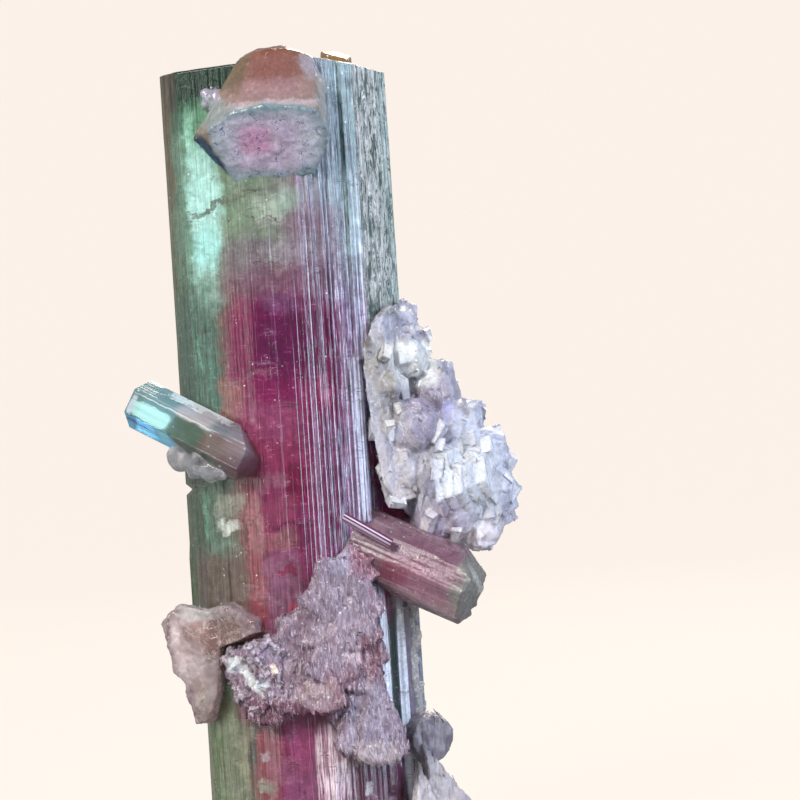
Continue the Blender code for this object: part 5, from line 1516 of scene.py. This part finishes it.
quartzFinish = mineral("cloudy rose quartz", {  # glassy and half clear, whitish at its breaks
    "cloud": 0.5, "drift": 1.0, "stretch": (0.9, 0.9, 0.9), "curl": 1.2,
    "dark": "9a7e82", "light": "c8b2b6", "contrast": 0.18, "frost": 0.5, "white": "f2eef2",
    "facets": ((0.32, 0.32, 0.26), 0.8, 0.2, 0.12),
    "glints": 0.2, "rough": (0.03, 0.10), "ior": 1.544, "clear": 0.6, "relief": 0.4}, platePatches)


def makePlate():
    # the outline is given as seen from the front, so it is wider on the sloping face
    out = frontSpot(plate["onFace"])[1]
    reach = abs(out.y)
    edge = Vector((*prism["section"][1], 0.0))
    start = edge - out * plate["thickness"] * plate["sunk"]
    outline = [((x - edge.x) / reach, z) for x, z in plate["outline"]]
    body = fuse("quartz_plate_glass", [slab(outline, plate["thickness"],
                Matrix.Translation(start) @ axesFrom(out, (0, 0, 1)))], plate["voxel"])
    return roughen(body, plate["relief"])


def makeBud():
    uneven = random.Random(bud["seed"])
    body = fuse("quartz_bud_glass", [block(b[:3], b[3] * 0.95, uneven) for b in bud["lumps"]]
                + [lump(b[:3], b[3] * 0.85, uneven, 3) for b in bud["lumps"]], bud["voxel"])
    return roughen(body, bud["relief"])


def makeSprig():
    body = fuse("albite_sprig_blades", [crust(sprig["outline"], sprig["thickness"])],
                sprig["voxel"])
    roughen(body, sprig["relief"])
    return scatter(body, sprigFinish, sprig["layers"])


putOn(makeSprig(), sprigFinish, ["albite_sprig"], sharp=30)
putOn(makePlate(), quartzFinish, ["quartz_plate"], sharp=35)
budFinish = mineral("clear quartz", {  # water clear, with a faint blue cast
    "cloud": 0.9, "drift": 0.5, "stretch": (1.2, 1.2, 1.2), "curl": 0.8,
    "dark": "dcdaee", "light": "fafaff", "contrast": 0.1, "frost": 0.7, "white": "ffffff",
    "facets": ((0.8, 0.8, 0.6), 1.6, 0.7, 0.15),
    "glints": 0.5, "rough": (0.01, 0.06), "ior": 1.544, "clear": 0.8, "relief": 0.6}, ())
putOn(makeBud(), budFinish, ["quartz_bud"], sharp=35)


etched = {  # rough grains that the etched right edge ends in
    "foot": 12.0, "top": 31.5, "left": 11.6, "right": 12.7, "grains": 36, "size": 1.25,
    "sunk": 0.45, "voxel": 0.16, "seed": 9, "relief": (((1.5, 1.5, 1.5), 0.4, "cobbles"),),
}


def makeEtchedEdge():
    uneven = random.Random(etched["seed"])
    bodies = []
    for i in range(etched["grains"]):
        x = uneven.uniform(etched["left"], etched["right"])
        y, out = frontSpot(x)
        z = etched["foot"] + (etched["top"] - etched["foot"]) * i / (etched["grains"] - 1)
        centre = Vector((x, y, z)) - out * etched["size"] * etched["sunk"]
        bodies.append(lump(centre, etched["size"] * uneven.uniform(0.7, 1.1), uneven))
    body = fuse("etched_edge", bodies, etched["voxel"])
    return roughen(body, etched["relief"])


etchedFinish = mineral("etched tourmaline grains", {  # sugary, pale, dark in its pits
    "cloud": 1.6, "drift": 0.4, "stretch": (3.2, 3.2, 3.2), "curl": 0.6,
    "dark": "888682", "light": "c8c6c2", "contrast": 0.45, "frost": 0.7, "white": "ecebe8",
    "rough": (0.3, 0.5), "ior": 1.62, "clear": 0.1, "relief": 0.8}, ())
putOn(makeEtchedEdge(), etchedFinish, ["tourmaline"], sharp=40)

for grain in grains.values():  # they were only patterns for the scattered ones
    bpy.data.objects.remove(grain)
